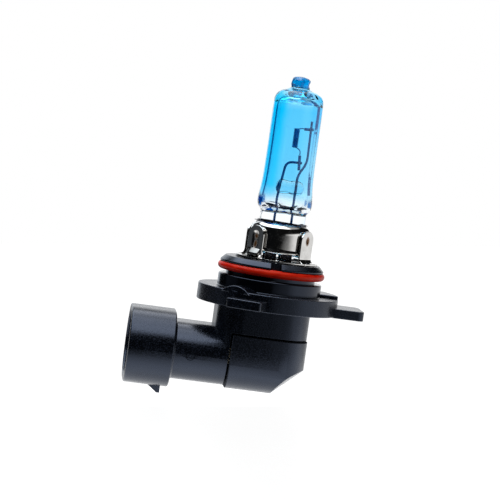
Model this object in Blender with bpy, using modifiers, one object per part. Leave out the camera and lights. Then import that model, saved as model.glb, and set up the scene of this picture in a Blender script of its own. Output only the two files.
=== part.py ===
"""Right-angle headlight bulb: a blue halogen capsule, a metal cup on four legs and a keyed plastic base.

Frame: +Z runs along the base axis towards the glass tip. The origin is where that axis meets the reference
plane, which holds the upper face of the side lug. The connector socket opens towards -X, and -Y is the front.
Angles round the axis, called bearings, start at the front and turn towards +X.
"""

import math

import bmesh
import bpy
from mathutils import Matrix, Vector

MM = 0.001
MERGE = 0.01 * MM

# Clearances between neighbouring solids
FIT_GAP = 0.3 * MM
SNUG_GAP = 0.1 * MM
WIRE_GAP = 0.06 * MM

# Base: turned features, on the base axis
PILOT_RADIUS = 10.1 * MM
PILOT_TOP = 3.9 * MM
GROOVE_RADIUS = 8.7 * MM
DISC_RADIUS = 10.1 * MM
DISC_BOTTOM = 6.2 * MM
DISC_TOP = 7.4 * MM
DISC_CHAMFER = 0.9 * MM
FLANGE_RADIUS = 13.7 * MM
FLANGE_TOP = 1.5 * MM
FLANGE_BOTTOM = -1.7 * MM
NECK_BORE_RADIUS = 4.6 * MM

# Lugs and keys on the flange
# A lug's bearing, width, outer end, underside, upper face and corner radius
LUGS = (
    (-20, 6.7 * MM, 17.8 * MM, -1.35 * MM, 0.4 * MM, 0.4 * MM),
    (90, 9.6 * MM, 18.7 * MM, -1.85 * MM, 0, 1.3 * MM),
    (210, 6.7 * MM, 17.8 * MM, -1.7 * MM, 0, 0.4 * MM),
)
HUMP_BEARING = -31.5
HUMP_RADIUS = 3.9 * MM
HUMP_RISE = 1.0 * MM
STEP_RISE = 0.6 * MM
STEP_BEARINGS = (88, 122)
NOTCH_WIDTH = 2.1 * MM
NOTCH_DEPTH = 1.5 * MM
NOTCH_BEARING = -1

# Body below the flange, the arm and the connector socket
BODY_LEFT = -9.75 * MM
BODY_RIGHT = 8.3 * MM
BODY_WIDTH = 17.4 * MM
BODY_CORNER = 5.2 * MM
SEAM_Z = -6.95 * MM
SEAM_X = -6.6 * MM
ARM_MIDDLE_Z = -12.0 * MM
ARM_HEIGHT = 11.15 * MM
ARM_WIDTH = 16.6 * MM
SOCKET_HEIGHT = 14.65 * MM
SOCKET_WIDTH = 20.0 * MM
SOCKET_WALL = 1.3 * MM
SOCKET_MOUTH_X = -25.9 * MM
SOCKET_BACK_X = -17.2 * MM
SOCKET_FLOOR_X = -17.7 * MM
LATCH_DEPTH = 1.45 * MM
LATCH_WIDTH = 5.0 * MM
LATCH_X = (-21.0 * MM, -19.1 * MM, -18.5 * MM)
KEY_RIB = 0.9 * MM
KEY_RIB_Y = 4.9 * MM

# Elbow cover
COVER_PROUD = 0.2 * MM
COVER_BOTTOM = -18.0 * MM
COVER_WALL = 1.7 * MM
COVER_EDGE_RADIUS = 5.4 * MM
COVER_CHAMFER_TOP_Z = -12.85 * MM
COVER_CHAMFER_END_X = 2.8 * MM
COVER_CHAMFER_EDGE_RADIUS = 4.6 * MM

# O-ring
ORING_RADIUS = 9.72 * MM
ORING_SECTION = 0.74 * MM
ORING_Z = 5.4 * MM

# Capsule: the glass and everything clamped to it stand a little off the base axis
CAPSULE_X = 0.75 * MM
TIP_TOP = 43.35 * MM
PINCH_TOP = 17.4 * MM
PINCH_BOTTOM = 8.9 * MM
PINCH_WIDTH = 8.66 * MM
PINCH_DEPTH = 3.8 * MM
PINCH_CORNER = 1.2 * MM

# Cup, clip and legs
SHEET = 0.35 * MM
CUP_RADIUS = 5.85 * MM
CUP_TOP = 14.5 * MM
CUP_BOTTOM = 9.1 * MM
CUP_SHOULDER = 0.9 * MM
CUP_OPENING = 5.0 * MM
CLIP_TOP = 15.15 * MM
CLIP_BOTTOM = 9.8 * MM
CLIP_SHEET = 0.3 * MM
TONGUE_WIDTH = 2.2 * MM
TONGUE_SLOT = 0.85 * MM
TONGUE_BOTTOM = 7.3 * MM
LEG_INNER = 6.05 * MM
LEG_WIDTH = 4.2 * MM
LEG_TOP = 14.0 * MM
LEG_CORNER = 1.9 * MM
LEG_BEARINGS = (-52, 52, 128, -128)
RING_OUTER = 8.0 * MM
RING_INNER = 5.5 * MM
RING_BOTTOM = DISC_TOP + 0.12 * MM
STAKE_RADIUS = 0.35 * MM
STAKE_HEAD_DEPTH = 1.24 * MM
STAKE_HEAD_WIDTH = 2.9 * MM
STAKE_HEAD_RISE = 0.55 * MM
STAKE_DISTANCE = 7.2 * MM

# Filament mount inside the glass, measured from the capsule axis
POST_RADIUS = 0.22 * MM
SHORT_POST_X = -1.62 * MM
LONG_POST_X = 1.75 * MM
COIL_RADIUS = 0.48 * MM
COIL_WIRE = 0.1 * MM
COIL_X = 0.42 * MM
COIL_LOW = 29.65 * MM
COIL_HIGH = 33.35 * MM
COIL_TURNS = 9
CLAMP_RADIUS = 0.26 * MM
CLAMP_Y = -0.55 * MM

# Electrical joints in the base
LEAD_RADIUS = 0.3 * MM
LEAD_TOP = PINCH_BOTTOM - 0.95 * MM
LEAD_BOTTOM = -10.6 * MM
FERRULE_RADIUS = 0.65 * MM
FERRULE_LENGTH = 2.4 * MM
SEAL_RADIUS = NECK_BORE_RADIUS - FIT_GAP
SEAL_TOP = 5.2 * MM
SEAL_BOTTOM = -6.2 * MM
TERMINAL_Y = 3.3 * MM
TERMINAL_WIDTH = 2.8 * MM
TERMINAL_SHEET = 0.8 * MM
TERMINAL_TIP_X = -24.9 * MM
TERMINAL_TAB_TOP = -8.7 * MM

# Facets round a full turn
BIG_FACETS = 64
SMALL_FACETS = 32


def clear_scene():
    """Removes every object of the scene that the script starts in."""
    for old in list(bpy.data.objects):
        bpy.data.objects.remove(old, do_unlink=True)


def make_collection(name):
    """A new collection under the scene's own."""
    made = bpy.data.collections.new(name)
    bpy.context.scene.collection.children.link(made)
    return made


def make_material(name, colour, roughness, metallic=0.0, transmission=0.0):
    """A Principled material with these plain values."""
    made = bpy.data.materials.new(name)
    made.use_nodes = True
    shader = made.node_tree.nodes["Principled BSDF"]
    shader.inputs["Base Color"].default_value = (*colour, 1.0)
    shader.inputs["Roughness"].default_value = roughness
    shader.inputs["Metallic"].default_value = metallic
    shader.inputs["Transmission Weight"].default_value = transmission
    made.diffuse_color = (*colour, 1.0)
    return made


clear_scene()
PARTS = make_collection("headlight_bulb")
TOOLS = make_collection("tools")

BLUE_GLASS = make_material("blue_glass", (0.05, 0.45, 0.9), 0.03, transmission=0.9)
CLEAR_GLASS = make_material("clear_glass", (0.85, 0.93, 1.0), 0.03, transmission=0.9)
BLACK_NYLON = make_material("black_nylon", (0.02, 0.022, 0.026), 0.5)
RED_RUBBER = make_material("red_rubber", (0.6, 0.07, 0.03), 0.45)
PLATED_STEEL = make_material("plated_steel", (0.78, 0.76, 0.72), 0.2, metallic=1.0)
MOLYBDENUM = make_material("molybdenum", (0.35, 0.36, 0.4), 0.35, metallic=1.0)
TUNGSTEN = make_material("tungsten", (0.25, 0.26, 0.3), 0.4, metallic=1.0)
TINNED_BRASS = make_material("tinned_brass", (0.75, 0.7, 0.55), 0.3, metallic=1.0)
SEALANT = make_material("sealant", (0.5, 0.48, 0.42), 0.6)


def place(name, data, collection, material=None):
    """Links a new object holding this data, with the finish that shows."""
    made = bpy.data.objects.new(name, data)
    collection.objects.link(made)
    if material is not None:
        data.materials.append(material)
    if collection is TOOLS:
        made.hide_render = True
        made.display_type = "WIRE"
    return made


def mesh_from(name, shape):
    """The mesh of a bmesh, which is freed."""
    bmesh.ops.recalc_face_normals(shape, faces=shape.faces)
    mesh = bpy.data.meshes.new(name)
    shape.to_mesh(mesh)
    shape.free()
    mesh.shade_smooth()
    mesh.set_sharp_from_angle(angle=math.radians(35))
    return mesh


def combine(target, tool, operation):
    """Adds a Boolean of tool to target."""
    modifier = target.modifiers.new(f"{operation.lower()} {tool.name}", "BOOLEAN")
    modifier.operation = operation
    modifier.object = tool
    modifier.solver = "EXACT"


def join(target, *tools):
    """Unites the tools with target."""
    for tool in tools:
        combine(target, tool, "UNION")


def cut(target, *tools):
    """Takes the tools away from target."""
    for tool in tools:
        combine(target, tool, "DIFFERENCE")


def bearing_point(radius, bearing, z=0.0, centre_x=0.0):
    """The point at this radius and bearing round an axis through centre_x."""
    angle = math.radians(bearing)
    return Vector((centre_x + radius * math.sin(angle), -radius * math.cos(angle), z))


def turned(name, profile, collection, material=None, centre_x=0.0, facets=BIG_FACETS, ring=False):
    """A profile of (radius, z) points turned about the axis through centre_x. A ring's profile is closed."""
    mesh = bpy.data.meshes.new(name)
    edges = [(i, i + 1) for i in range(len(profile) - 1)]
    if ring:
        edges.append((len(profile) - 1, 0))
    mesh.from_pydata([(radius, 0, z) for radius, z in profile], edges, [])
    made = place(name, mesh, collection, material)
    made.location.x = centre_x
    screw = made.modifiers.new("turn", "SCREW")
    screw.steps = screw.render_steps = facets
    screw.use_merge_vertices = True
    screw.merge_threshold = MERGE
    screw.use_smooth_shade = True
    return made


def cylinder(name, radius, low, high, collection, material=None, centre=(0, 0), facets=SMALL_FACETS):
    """An upright cylinder between two heights."""
    shape = bmesh.new()
    bmesh.ops.create_cone(
        shape, cap_ends=True, segments=facets, radius1=radius, radius2=radius, depth=high - low
    )
    made = place(name, mesh_from(name, shape), collection, material)
    made.location = (centre[0], centre[1], (low + high) / 2)
    return made


def rounded_prism(name, low, high, along, radius, collection, material=None, segments=8, keep=None):
    """A box between two corners whose four edges along one axis are rounded.

    keep, if given, is a function of an edge's middle that says whether that edge is rounded.
    """
    size = Vector(high) - Vector(low)
    middle = (Vector(high) + Vector(low)) / 2
    shape = bmesh.new()
    bmesh.ops.create_cube(shape, size=1, matrix=Matrix.Diagonal((*size, 1)))
    edges = []
    for edge in shape.edges:
        run = edge.verts[1].co - edge.verts[0].co
        if abs(run["XYZ".index(along)]) < run.length * 0.99:
            continue
        if keep is None or keep((edge.verts[0].co + edge.verts[1].co) / 2):
            edges.append(edge)
    if radius > 0:
        bmesh.ops.bevel(
            shape, geom=edges, offset=radius, segments=segments, profile=0.5, affect="EDGES"
        )
    bmesh.ops.remove_doubles(shape, verts=shape.verts, dist=MERGE)
    made = place(name, mesh_from(name, shape), collection, material)
    made.location = middle
    return made


def box(name, low, high, collection, material=None):
    """A plain box between two corners."""
    return rounded_prism(name, low, high, "X", 0, collection, material)


def solid_from_curve(curve, name, collection, material=None):
    """A mesh object with the curve's evaluated shape in world space. The curve is removed."""
    bpy.context.view_layer.update()
    graph = bpy.context.evaluated_depsgraph_get()
    mesh = bpy.data.meshes.new_from_object(curve.evaluated_get(graph))
    mesh.transform(curve.matrix_world)
    mesh.materials.clear()
    bpy.data.objects.remove(curve, do_unlink=True)
    shape = bmesh.new()
    shape.from_mesh(mesh)
    bmesh.ops.remove_doubles(shape, verts=shape.verts, dist=0.001 * MM)
    bmesh.ops.recalc_face_normals(shape, faces=shape.faces)
    shape.to_mesh(mesh)
    shape.free()
    mesh.shade_smooth()
    mesh.set_sharp_from_angle(angle=math.radians(35))
    return place(name, mesh, collection, material)


def outline_prism(name, outline, axis, low, high, collection, material=None):
    """A flat outline of (u, v) points made thick along one axis. u and v are the other axes in XYZ order."""
    curve = bpy.data.curves.new(name, "CURVE")
    curve.dimensions = "2D"
    curve.fill_mode = "BOTH"
    curve.extrude = (high - low) / 2
    spline = curve.splines.new("POLY")
    spline.points.add(len(outline) - 1)
    for target, (u, v) in zip(spline.points, outline):
        target.co = (u, v, 0, 1)
    spline.use_cyclic_u = True
    flat = place(f"{name} outline", curve, TOOLS)
    turn = {
        "X": Matrix(((0, 0, 1), (1, 0, 0), (0, 1, 0))),
        "Y": Matrix(((1, 0, 0), (0, 0, -1), (0, 1, 0))),
        "Z": Matrix.Identity(3),
    }[axis]
    flat.matrix_world = turn.to_4x4()
    flat.matrix_world.translation["XYZ".index(axis)] = (low + high) / 2
    return solid_from_curve(flat, name, collection, material)


def stand_at(made, bearing, centre_x=0.0):
    """Turns a piece that was made pointing to the front until it points along a bearing."""
    made.matrix_world = (
        Matrix.Translation((centre_x, 0, 0))
        @ Matrix.Rotation(math.radians(bearing), 4, "Z")
        @ Matrix.Translation(made.location)
    )
    return made


def rounded_route(corners, radius, steps=5):
    """The corners of a wire with each bend replaced by a curve that starts radius away from it."""
    points = [Vector(corners[0])]
    for before, corner, after in zip(corners, corners[1:], corners[2:]):
        before, corner, after = Vector(before), Vector(corner), Vector(after)
        reach = min(radius, (before - corner).length * 0.45, (after - corner).length * 0.45)
        start = corner + (before - corner).normalized() * reach
        end = corner + (after - corner).normalized() * reach
        for i in range(steps + 1):
            t = i / steps
            points.append(start * (1 - t) ** 2 + corner * 2 * t * (1 - t) + end * t * t)
    points.append(Vector(corners[-1]))
    return points


def wire(name, points, radius, collection, material=None, resolution=2, centre_x=0.0):
    """A round wire along these points."""
    curve = bpy.data.curves.new(name, "CURVE")
    curve.dimensions = "3D"
    curve.bevel_depth = radius
    curve.bevel_resolution = resolution
    curve.use_fill_caps = True
    spline = curve.splines.new("POLY")
    spline.points.add(len(points) - 1)
    for target, point in zip(spline.points, points):
        target.co = (point[0] + centre_x, point[1], point[2], 1)
    return place(name, curve, collection, material)


def quarter_arc(centre, radius, start, end, steps=5):
    """Points on an arc in a profile, from one angle to another in degrees."""
    found = []
    for i in range(steps + 1):
        angle = math.radians(start + (end - start) * i / steps)
        found.append((centre[0] + radius * math.cos(angle), centre[1] + radius * math.sin(angle)))
    return found


# ---- Plastic base ----


def base_turning():
    """The disc, groove, pilot and flange as one turned solid."""
    profile = [
        (0, DISC_TOP),
        (DISC_RADIUS - DISC_CHAMFER, DISC_TOP),
        (DISC_RADIUS, DISC_TOP - DISC_CHAMFER),
        (DISC_RADIUS, DISC_BOTTOM),
        (GROOVE_RADIUS, DISC_BOTTOM),
        (GROOVE_RADIUS, PILOT_TOP),
        (PILOT_RADIUS, PILOT_TOP),
        (PILOT_RADIUS, FLANGE_TOP),
        (FLANGE_RADIUS, FLANGE_TOP),
        (FLANGE_RADIUS, FLANGE_BOTTOM),
        (0, FLANGE_BOTTOM),
    ]
    return turned("base_housing", profile, PARTS, BLACK_NYLON)


def lug(bearing, width, end, bottom, top, corner):
    """One flat tongue that stands out of the flange."""
    low = (-width / 2, -end, bottom)
    high = (width / 2, -PILOT_RADIUS, top)
    made = rounded_prism(f"lug {bearing}", low, high, "Z", corner, TOOLS, segments=4)
    return stand_at(made, bearing)


def hump():
    """A low round-topped rib that runs radially across the flange."""
    centre_z = FLANGE_TOP + HUMP_RISE - HUMP_RADIUS
    half_angle = math.degrees(math.acos((FLANGE_TOP - 0.4 * MM - centre_z) / HUMP_RADIUS))
    outline = quarter_arc((0, centre_z), HUMP_RADIUS, 90 - half_angle, 90 + half_angle, steps=10)
    near, far = -FLANGE_RADIUS + 0.05 * MM, -PILOT_RADIUS + 0.5 * MM
    made = outline_prism("hump", outline, "Y", near, far, TOOLS)
    return stand_at(made, HUMP_BEARING)


def raised_step():
    """A slightly raised sector of the flange behind the side lug."""
    start, end = STEP_BEARINGS
    count = 10
    bearings = [start + (end - start) * i / count for i in range(count + 1)]
    outer = [bearing_point(FLANGE_RADIUS - 0.02 * MM, bearing) for bearing in bearings]
    inner = [bearing_point(PILOT_RADIUS - 0.5 * MM, bearing) for bearing in reversed(bearings)]
    outline = [(point.x, point.y) for point in outer + inner]
    return outline_prism("raised step", outline, "Z", 0, FLANGE_TOP + STEP_RISE, TOOLS)


def body_and_arm():
    """The upright body under the flange and the arm that leaves it towards the socket."""
    body = rounded_prism(
        "body",
        (BODY_LEFT, -BODY_WIDTH / 2, ARM_MIDDLE_Z),
        (BODY_RIGHT, BODY_WIDTH / 2, FLANGE_BOTTOM + 0.5 * MM),
        "Z",
        BODY_CORNER,
        TOOLS,
    )
    arm = rounded_prism(
        "arm",
        (SOCKET_BACK_X - 1 * MM, -ARM_WIDTH / 2, ARM_MIDDLE_Z - ARM_HEIGHT / 2),
        (0, ARM_WIDTH / 2, ARM_MIDDLE_Z + ARM_HEIGHT / 2),
        "X",
        ARM_HEIGHT / 2 - 0.02 * MM,
        TOOLS,
    )
    return body, arm


def socket_shell():
    """The oval collar of the connector socket, still solid."""
    return rounded_prism(
        "socket shell",
        (SOCKET_MOUTH_X, -SOCKET_WIDTH / 2, ARM_MIDDLE_Z - SOCKET_HEIGHT / 2),
        (SOCKET_BACK_X, SOCKET_WIDTH / 2, ARM_MIDDLE_Z + SOCKET_HEIGHT / 2),
        "X",
        SOCKET_HEIGHT / 2 - 0.02 * MM,
        TOOLS,
    )


def socket_cavity():
    """The space that the plug goes into."""
    half_width = SOCKET_WIDTH / 2 - SOCKET_WALL
    half_height = SOCKET_HEIGHT / 2 - SOCKET_WALL
    return rounded_prism(
        "socket cavity",
        (SOCKET_MOUTH_X - 1 * MM, -half_width, ARM_MIDDLE_Z - half_height),
        (SOCKET_FLOOR_X, half_width, ARM_MIDDLE_Z + half_height),
        "X",
        half_height - 0.02 * MM,
        TOOLS,
    )


def key_ribs():
    """Two low ribs on the socket's lower inner wall, which key the plug."""
    floor = ARM_MIDDLE_Z - SOCKET_HEIGHT / 2 + SOCKET_WALL
    made = []
    for side in (-1, 1):
        low = (SOCKET_MOUTH_X + 1.2 * MM, side * KEY_RIB_Y - KEY_RIB / 2, floor - 0.2 * MM)
        high = (SOCKET_FLOOR_X + 0.3 * MM, side * KEY_RIB_Y + KEY_RIB / 2, floor + 1.7 * MM)
        made.append(box(f"key rib {side}", low, high, TOOLS))
    return made


def latch():
    """The ramp under the socket that the plug's latch snaps over."""
    bottom = ARM_MIDDLE_Z - SOCKET_HEIGHT / 2
    start, deepest, end = LATCH_X
    outline = [
        (start, bottom + 0.4 * MM),
        (start, bottom - 0.05 * MM),
        (deepest, bottom - LATCH_DEPTH),
        (end, bottom - LATCH_DEPTH),
        (end, bottom + 0.4 * MM),
    ]
    return outline_prism("latch", outline, "Y", -LATCH_WIDTH / 2, LATCH_WIDTH / 2, TOOLS)


def terminal_slot(side):
    """The slot through the arm that one terminal lies in."""
    half_width = TERMINAL_WIDTH / 2 + FIT_GAP
    half_sheet = TERMINAL_SHEET / 2 + FIT_GAP
    return box(
        f"terminal slot {side}",
        (SOCKET_FLOOR_X - 1 * MM, side * TERMINAL_Y - half_sheet, ARM_MIDDLE_Z - half_width),
        (SEAM_X + 1 * MM, side * TERMINAL_Y + half_sheet, ARM_MIDDLE_Z + half_width),
        TOOLS,
    )


def stake_head(name, low, bearing):
    """The low oval dome of one stake, made at the front and turned to its bearing."""
    shape = bmesh.new()
    bmesh.ops.create_uvsphere(shape, u_segments=20, v_segments=10, radius=1)
    bmesh.ops.bisect_plane(
        shape,
        geom=shape.verts[:] + shape.edges[:] + shape.faces[:],
        plane_co=(0, 0, 0),
        plane_no=(0, 0, -1),
        clear_outer=True,
    )
    bmesh.ops.holes_fill(shape, edges=shape.edges)
    size = (STAKE_HEAD_WIDTH / 2, STAKE_HEAD_DEPTH / 2, STAKE_HEAD_RISE)
    bmesh.ops.scale(shape, verts=shape.verts, vec=size)
    made = place(name, mesh_from(name, shape), TOOLS)
    made.location = (0, -STAKE_DISTANCE, low)
    return stand_at(made, bearing, CAPSULE_X)


def heat_stakes():
    """Four posts with flattened heads that hold the leg ring down on the disc."""
    made = []
    head_low = RING_BOTTOM + SHEET + SNUG_GAP
    for bearing in LEG_BEARINGS:
        spot = bearing_point(STAKE_DISTANCE, bearing, centre_x=CAPSULE_X)
        top = head_low + 0.15 * MM
        low = DISC_TOP - 1 * MM
        made.append(cylinder(f"stake {bearing}", STAKE_RADIUS, low, top, TOOLS, centre=spot, facets=16))
        made.append(stake_head(f"stake head {bearing}", head_low, bearing))
    return made


def base_housing():
    """The one-piece moulding: disc, groove, pilot, flange, lugs, body, arm and socket."""
    housing = base_turning()
    body, arm = body_and_arm()
    join(housing, body, arm)
    join(housing, socket_shell(), latch())
    join(housing, *[lug(*sizes) for sizes in LUGS])
    join(housing, hump(), raised_step())
    elbow_pocket = box(
        "elbow pocket",
        (SEAM_X, -20 * MM, -30 * MM),
        (20 * MM, 20 * MM, SEAM_Z),
        TOOLS,
    )
    neck_bore = cylinder("neck bore", NECK_BORE_RADIUS, SEAM_Z - 1 * MM, DISC_TOP + 1 * MM, TOOLS)
    notch = box(
        "rim notch",
        (-NOTCH_WIDTH / 2, -DISC_RADIUS - 1 * MM, DISC_BOTTOM - 0.2 * MM),
        (NOTCH_WIDTH / 2, -DISC_RADIUS + NOTCH_DEPTH, DISC_TOP + 1 * MM),
        TOOLS,
    )
    stand_at(notch, NOTCH_BEARING)
    cut(housing, elbow_pocket, neck_bore, socket_cavity(), notch)
    cut(housing, terminal_slot(-1), terminal_slot(1))
    join(housing, *key_ribs())
    join(housing, *heat_stakes())
    return housing


def cover_form(name, inset, left, top, collection, material=None):
    """The elbow's outer corner: upright faces with round corners, rounded underneath. inset shrinks it."""
    half = BODY_WIDTH / 2 + COVER_PROUD - inset
    right = BODY_RIGHT + COVER_PROUD - inset
    bottom = COVER_BOTTOM + inset
    form = rounded_prism(
        name,
        (left, -half, bottom),
        (right, half, top),
        "Z",
        BODY_CORNER + COVER_PROUD - inset,
        collection,
        material,
        keep=lambda middle: middle.x > 0,
    )
    rounding = rounded_prism(
        f"{name} rounding",
        (left - 10 * MM, -half - 0.01 * MM, bottom - 0.001 * MM),
        (right + 5 * MM, half + 0.01 * MM, bottom + 30 * MM),
        "X",
        COVER_EDGE_RADIUS - inset,
        TOOLS,
        keep=lambda middle: middle.z < 0,
    )
    combine(form, rounding, "INTERSECT")
    combine(form, slanted_rounding(name, inset), "INTERSECT")
    return form


def slanted_rounding(name, inset):
    """A long block whose slanted underside and rounded lower edges cut the chamfer at the elbow's corner."""
    right = BODY_RIGHT + COVER_PROUD
    half = BODY_WIDTH / 2 + COVER_PROUD - inset + 0.02 * MM
    run = right - COVER_CHAMFER_END_X
    rise = COVER_CHAMFER_TOP_Z - COVER_BOTTOM
    made = rounded_prism(
        f"{name} slant",
        (-40 * MM, -half, inset),
        (40 * MM, half, 40 * MM),
        "X",
        COVER_CHAMFER_EDGE_RADIUS - inset,
        TOOLS,
        keep=lambda middle: middle.z < 0,
    )
    made.matrix_world = (
        Matrix.Translation((COVER_CHAMFER_END_X, 0, COVER_BOTTOM))
        @ Matrix.Rotation(-math.atan2(rise, run), 4, "Y")
        @ Matrix.Translation(made.location)
    )
    return made


def elbow_cover():
    """The cap that closes the elbow after the leads are joined."""
    top = SEAM_Z - FIT_GAP
    left = SEAM_X + FIT_GAP
    cover = cover_form("elbow_cover", 0, left, top, PARTS, BLACK_NYLON)
    hollow = cover_form("cover hollow", COVER_WALL, left - 5 * MM, top + 5 * MM, TOOLS)
    cut(cover, hollow)
    return cover


# ---- Seals ----


def o_ring():
    """The red ring in the base's groove."""
    profile = quarter_arc((ORING_RADIUS, ORING_Z), ORING_SECTION, 90, -270, steps=14)[:-1]
    return turned("o_ring", profile, PARTS, RED_RUBBER, facets=48, ring=True)


def lead_seal():
    """The sealing compound in the neck, with a way through for each lead."""
    seal = cylinder("lead_seal", SEAL_RADIUS, SEAL_BOTTOM, SEAL_TOP, PARTS, SEALANT)
    for x in (SHORT_POST_X, LONG_POST_X):
        way = cylinder(
            f"lead way {x:.4f}",
            LEAD_RADIUS + SNUG_GAP,
            SEAL_BOTTOM - 1 * MM,
            SEAL_TOP + 1 * MM,
            TOOLS,
            centre=(CAPSULE_X + x, 0),
            facets=12,
        )
        cut(seal, way)
    return seal


# ---- Glass ----


def glass_envelope():
    """The blown tube with its tipped-off end and the flat pinch below it, hollow inside."""
    outer = [
        (0, TIP_TOP),
        (1.3 * MM, TIP_TOP - 0.15 * MM),
        (1.8 * MM, TIP_TOP - 0.7 * MM),
        (1.78 * MM, 41.3 * MM),
        (2.0 * MM, 41.0 * MM),
        (3.3 * MM, 40.6 * MM),
        (4.3 * MM, 39.9 * MM),
        (4.75 * MM, 39.0 * MM),
        (4.8 * MM, 38.0 * MM),
        (4.85 * MM, 28.0 * MM),
        (4.95 * MM, 23.0 * MM),
        (5.2 * MM, 20.4 * MM),
        (5.34 * MM, 19.1 * MM),
        (5.25 * MM, 18.1 * MM),
        (4.95 * MM, 17.4 * MM),
        (4.4 * MM, 16.9 * MM),
        (3.4 * MM, 16.7 * MM),
        (0, 16.7 * MM),
    ]
    inner = [
        (0, 39.4 * MM),
        (2.6 * MM, 39.3 * MM),
        (3.5 * MM, 38.9 * MM),
        (3.85 * MM, 38.0 * MM),
        (3.9 * MM, 28.0 * MM),
        (4.0 * MM, 23.0 * MM),
        (4.35 * MM, 20.0 * MM),
        (4.2 * MM, 19.0 * MM),
        (3.2 * MM, 18.4 * MM),
        (0, 18.3 * MM),
    ]
    glass = turned("glass_envelope", outer, PARTS, BLUE_GLASS, centre_x=CAPSULE_X, facets=40)
    pinch = rounded_prism(
        "pinch",
        (CAPSULE_X - PINCH_WIDTH / 2, -PINCH_DEPTH / 2, PINCH_BOTTOM),
        (CAPSULE_X + PINCH_WIDTH / 2, PINCH_DEPTH / 2, PINCH_TOP),
        "Z",
        PINCH_CORNER,
        TOOLS,
        segments=4,
    )
    join(glass, pinch)
    cut(glass, turned("glass hollow", inner, TOOLS, centre_x=CAPSULE_X, facets=40))
    for x in (SHORT_POST_X, LONG_POST_X):
        channel = cylinder(
            f"pinch channel {x:.4f}",
            POST_RADIUS + WIRE_GAP,
            PINCH_BOTTOM - 1 * MM,
            19.5 * MM,
            TOOLS,
            centre=(CAPSULE_X + x, 0),
            facets=12,
        )
        cut(glass, channel)
    return glass


# ---- Filament mount ----

POST_BOTTOM = PINCH_BOTTOM - 0.75 * MM
SHORT_POST_CORNERS = [
    (SHORT_POST_X, 0, POST_BOTTOM),
    (SHORT_POST_X, 0, 19.8 * MM),
    (-0.78 * MM, 0, 26.75 * MM),
    (2.27 * MM, 0, 26.85 * MM),
]
LONG_POST_CORNERS = [
    (LONG_POST_X, 0, POST_BOTTOM),
    (LONG_POST_X, 0, 24.4 * MM),
    (3.3 * MM, 0, 26.9 * MM),
    (3.14 * MM, 0, 35.1 * MM),
]
SHORT_POST_ROUTE = rounded_route(SHORT_POST_CORNERS, 1.1 * MM)
LONG_POST_ROUTE = rounded_route(LONG_POST_CORNERS, 1.1 * MM)


def glass_bridge():
    """The glass bead that holds the two posts apart."""
    bead = rounded_prism(
        "glass_bridge",
        (CAPSULE_X - 2.2 * MM, -1.3 * MM, 20.4 * MM),
        (CAPSULE_X + 3.3 * MM, 1.3 * MM, 23.3 * MM),
        "X",
        1.0 * MM,
        PARTS,
        CLEAR_GLASS,
        segments=4,
    )
    for name, route in (("short way", SHORT_POST_ROUTE), ("long way", LONG_POST_ROUTE)):
        curve = wire(f"{name} curve", route, POST_RADIUS + WIRE_GAP, TOOLS, centre_x=CAPSULE_X)
        cut(bead, solid_from_curve(curve, name, TOOLS))
    return bead


def filament():
    """The tungsten coil along the capsule axis with its two tails."""
    points = [Vector((1.55 * MM, CLAMP_Y, 28.35 * MM)), Vector((1.55 * MM, CLAMP_Y, 29.0 * MM))]
    points.append(Vector((1.25 * MM, CLAMP_Y * 0.8, 29.4 * MM)))
    per_turn = 10
    total = COIL_TURNS * per_turn
    for i in range(total + 1):
        angle = 2 * math.pi * i / per_turn
        z = COIL_LOW + (COIL_HIGH - COIL_LOW) * i / total
        points.append(Vector((COIL_X + COIL_RADIUS * math.cos(angle), COIL_RADIUS * math.sin(angle), z)))
    points.append(Vector((1.3 * MM, CLAMP_Y * 0.7, COIL_HIGH + 0.12 * MM)))
    points.append(Vector((1.65 * MM, CLAMP_Y, COIL_HIGH + 0.12 * MM)))
    return wire("filament", points, COIL_WIRE, PARTS, TUNGSTEN, resolution=1, centre_x=CAPSULE_X)


def filament_mount():
    """The two posts and the sleeves that clamp the filament's tails to them."""
    wire("short_post", SHORT_POST_ROUTE, POST_RADIUS, PARTS, MOLYBDENUM, centre_x=CAPSULE_X)
    wire("long_post", LONG_POST_ROUTE, POST_RADIUS, PARTS, MOLYBDENUM, centre_x=CAPSULE_X)
    lower = [(1.56 * MM, CLAMP_Y, 28.25 * MM), (1.77 * MM, CLAMP_Y, 25.4 * MM)]
    upper = [(1.75 * MM, CLAMP_Y, 33.4 * MM), (3.55 * MM, CLAMP_Y, 33.5 * MM)]
    wire("lower_clamp", lower, CLAMP_RADIUS, PARTS, MOLYBDENUM, centre_x=CAPSULE_X)
    wire("upper_clamp", upper, CLAMP_RADIUS, PARTS, MOLYBDENUM, centre_x=CAPSULE_X)


# ---- Metal holder ----


def bulb_cup():
    """The drawn cup round the pinch, open above and below."""
    shoulder = quarter_arc(
        (CUP_RADIUS - CUP_SHOULDER, CUP_TOP - CUP_SHOULDER), CUP_SHOULDER, 90, 0, steps=4
    )
    inner = quarter_arc(
        (CUP_RADIUS - CUP_SHOULDER, CUP_TOP - CUP_SHOULDER), CUP_SHOULDER - SHEET, 0, 90, steps=4
    )
    profile = [(CUP_OPENING, CUP_TOP)]
    profile += shoulder
    profile += [
        (CUP_RADIUS, CUP_BOTTOM + 0.5 * MM),
        (CUP_RADIUS + 0.12 * MM, CUP_BOTTOM),
        (CUP_RADIUS - SHEET + 0.12 * MM, CUP_BOTTOM),
        (CUP_RADIUS - SHEET, CUP_BOTTOM + 0.5 * MM),
    ]
    profile += inner
    profile += [(CUP_OPENING, CUP_TOP - SHEET)]
    return turned("bulb_cup", profile, PARTS, PLATED_STEEL, centre_x=CAPSULE_X, facets=48, ring=True)


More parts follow.
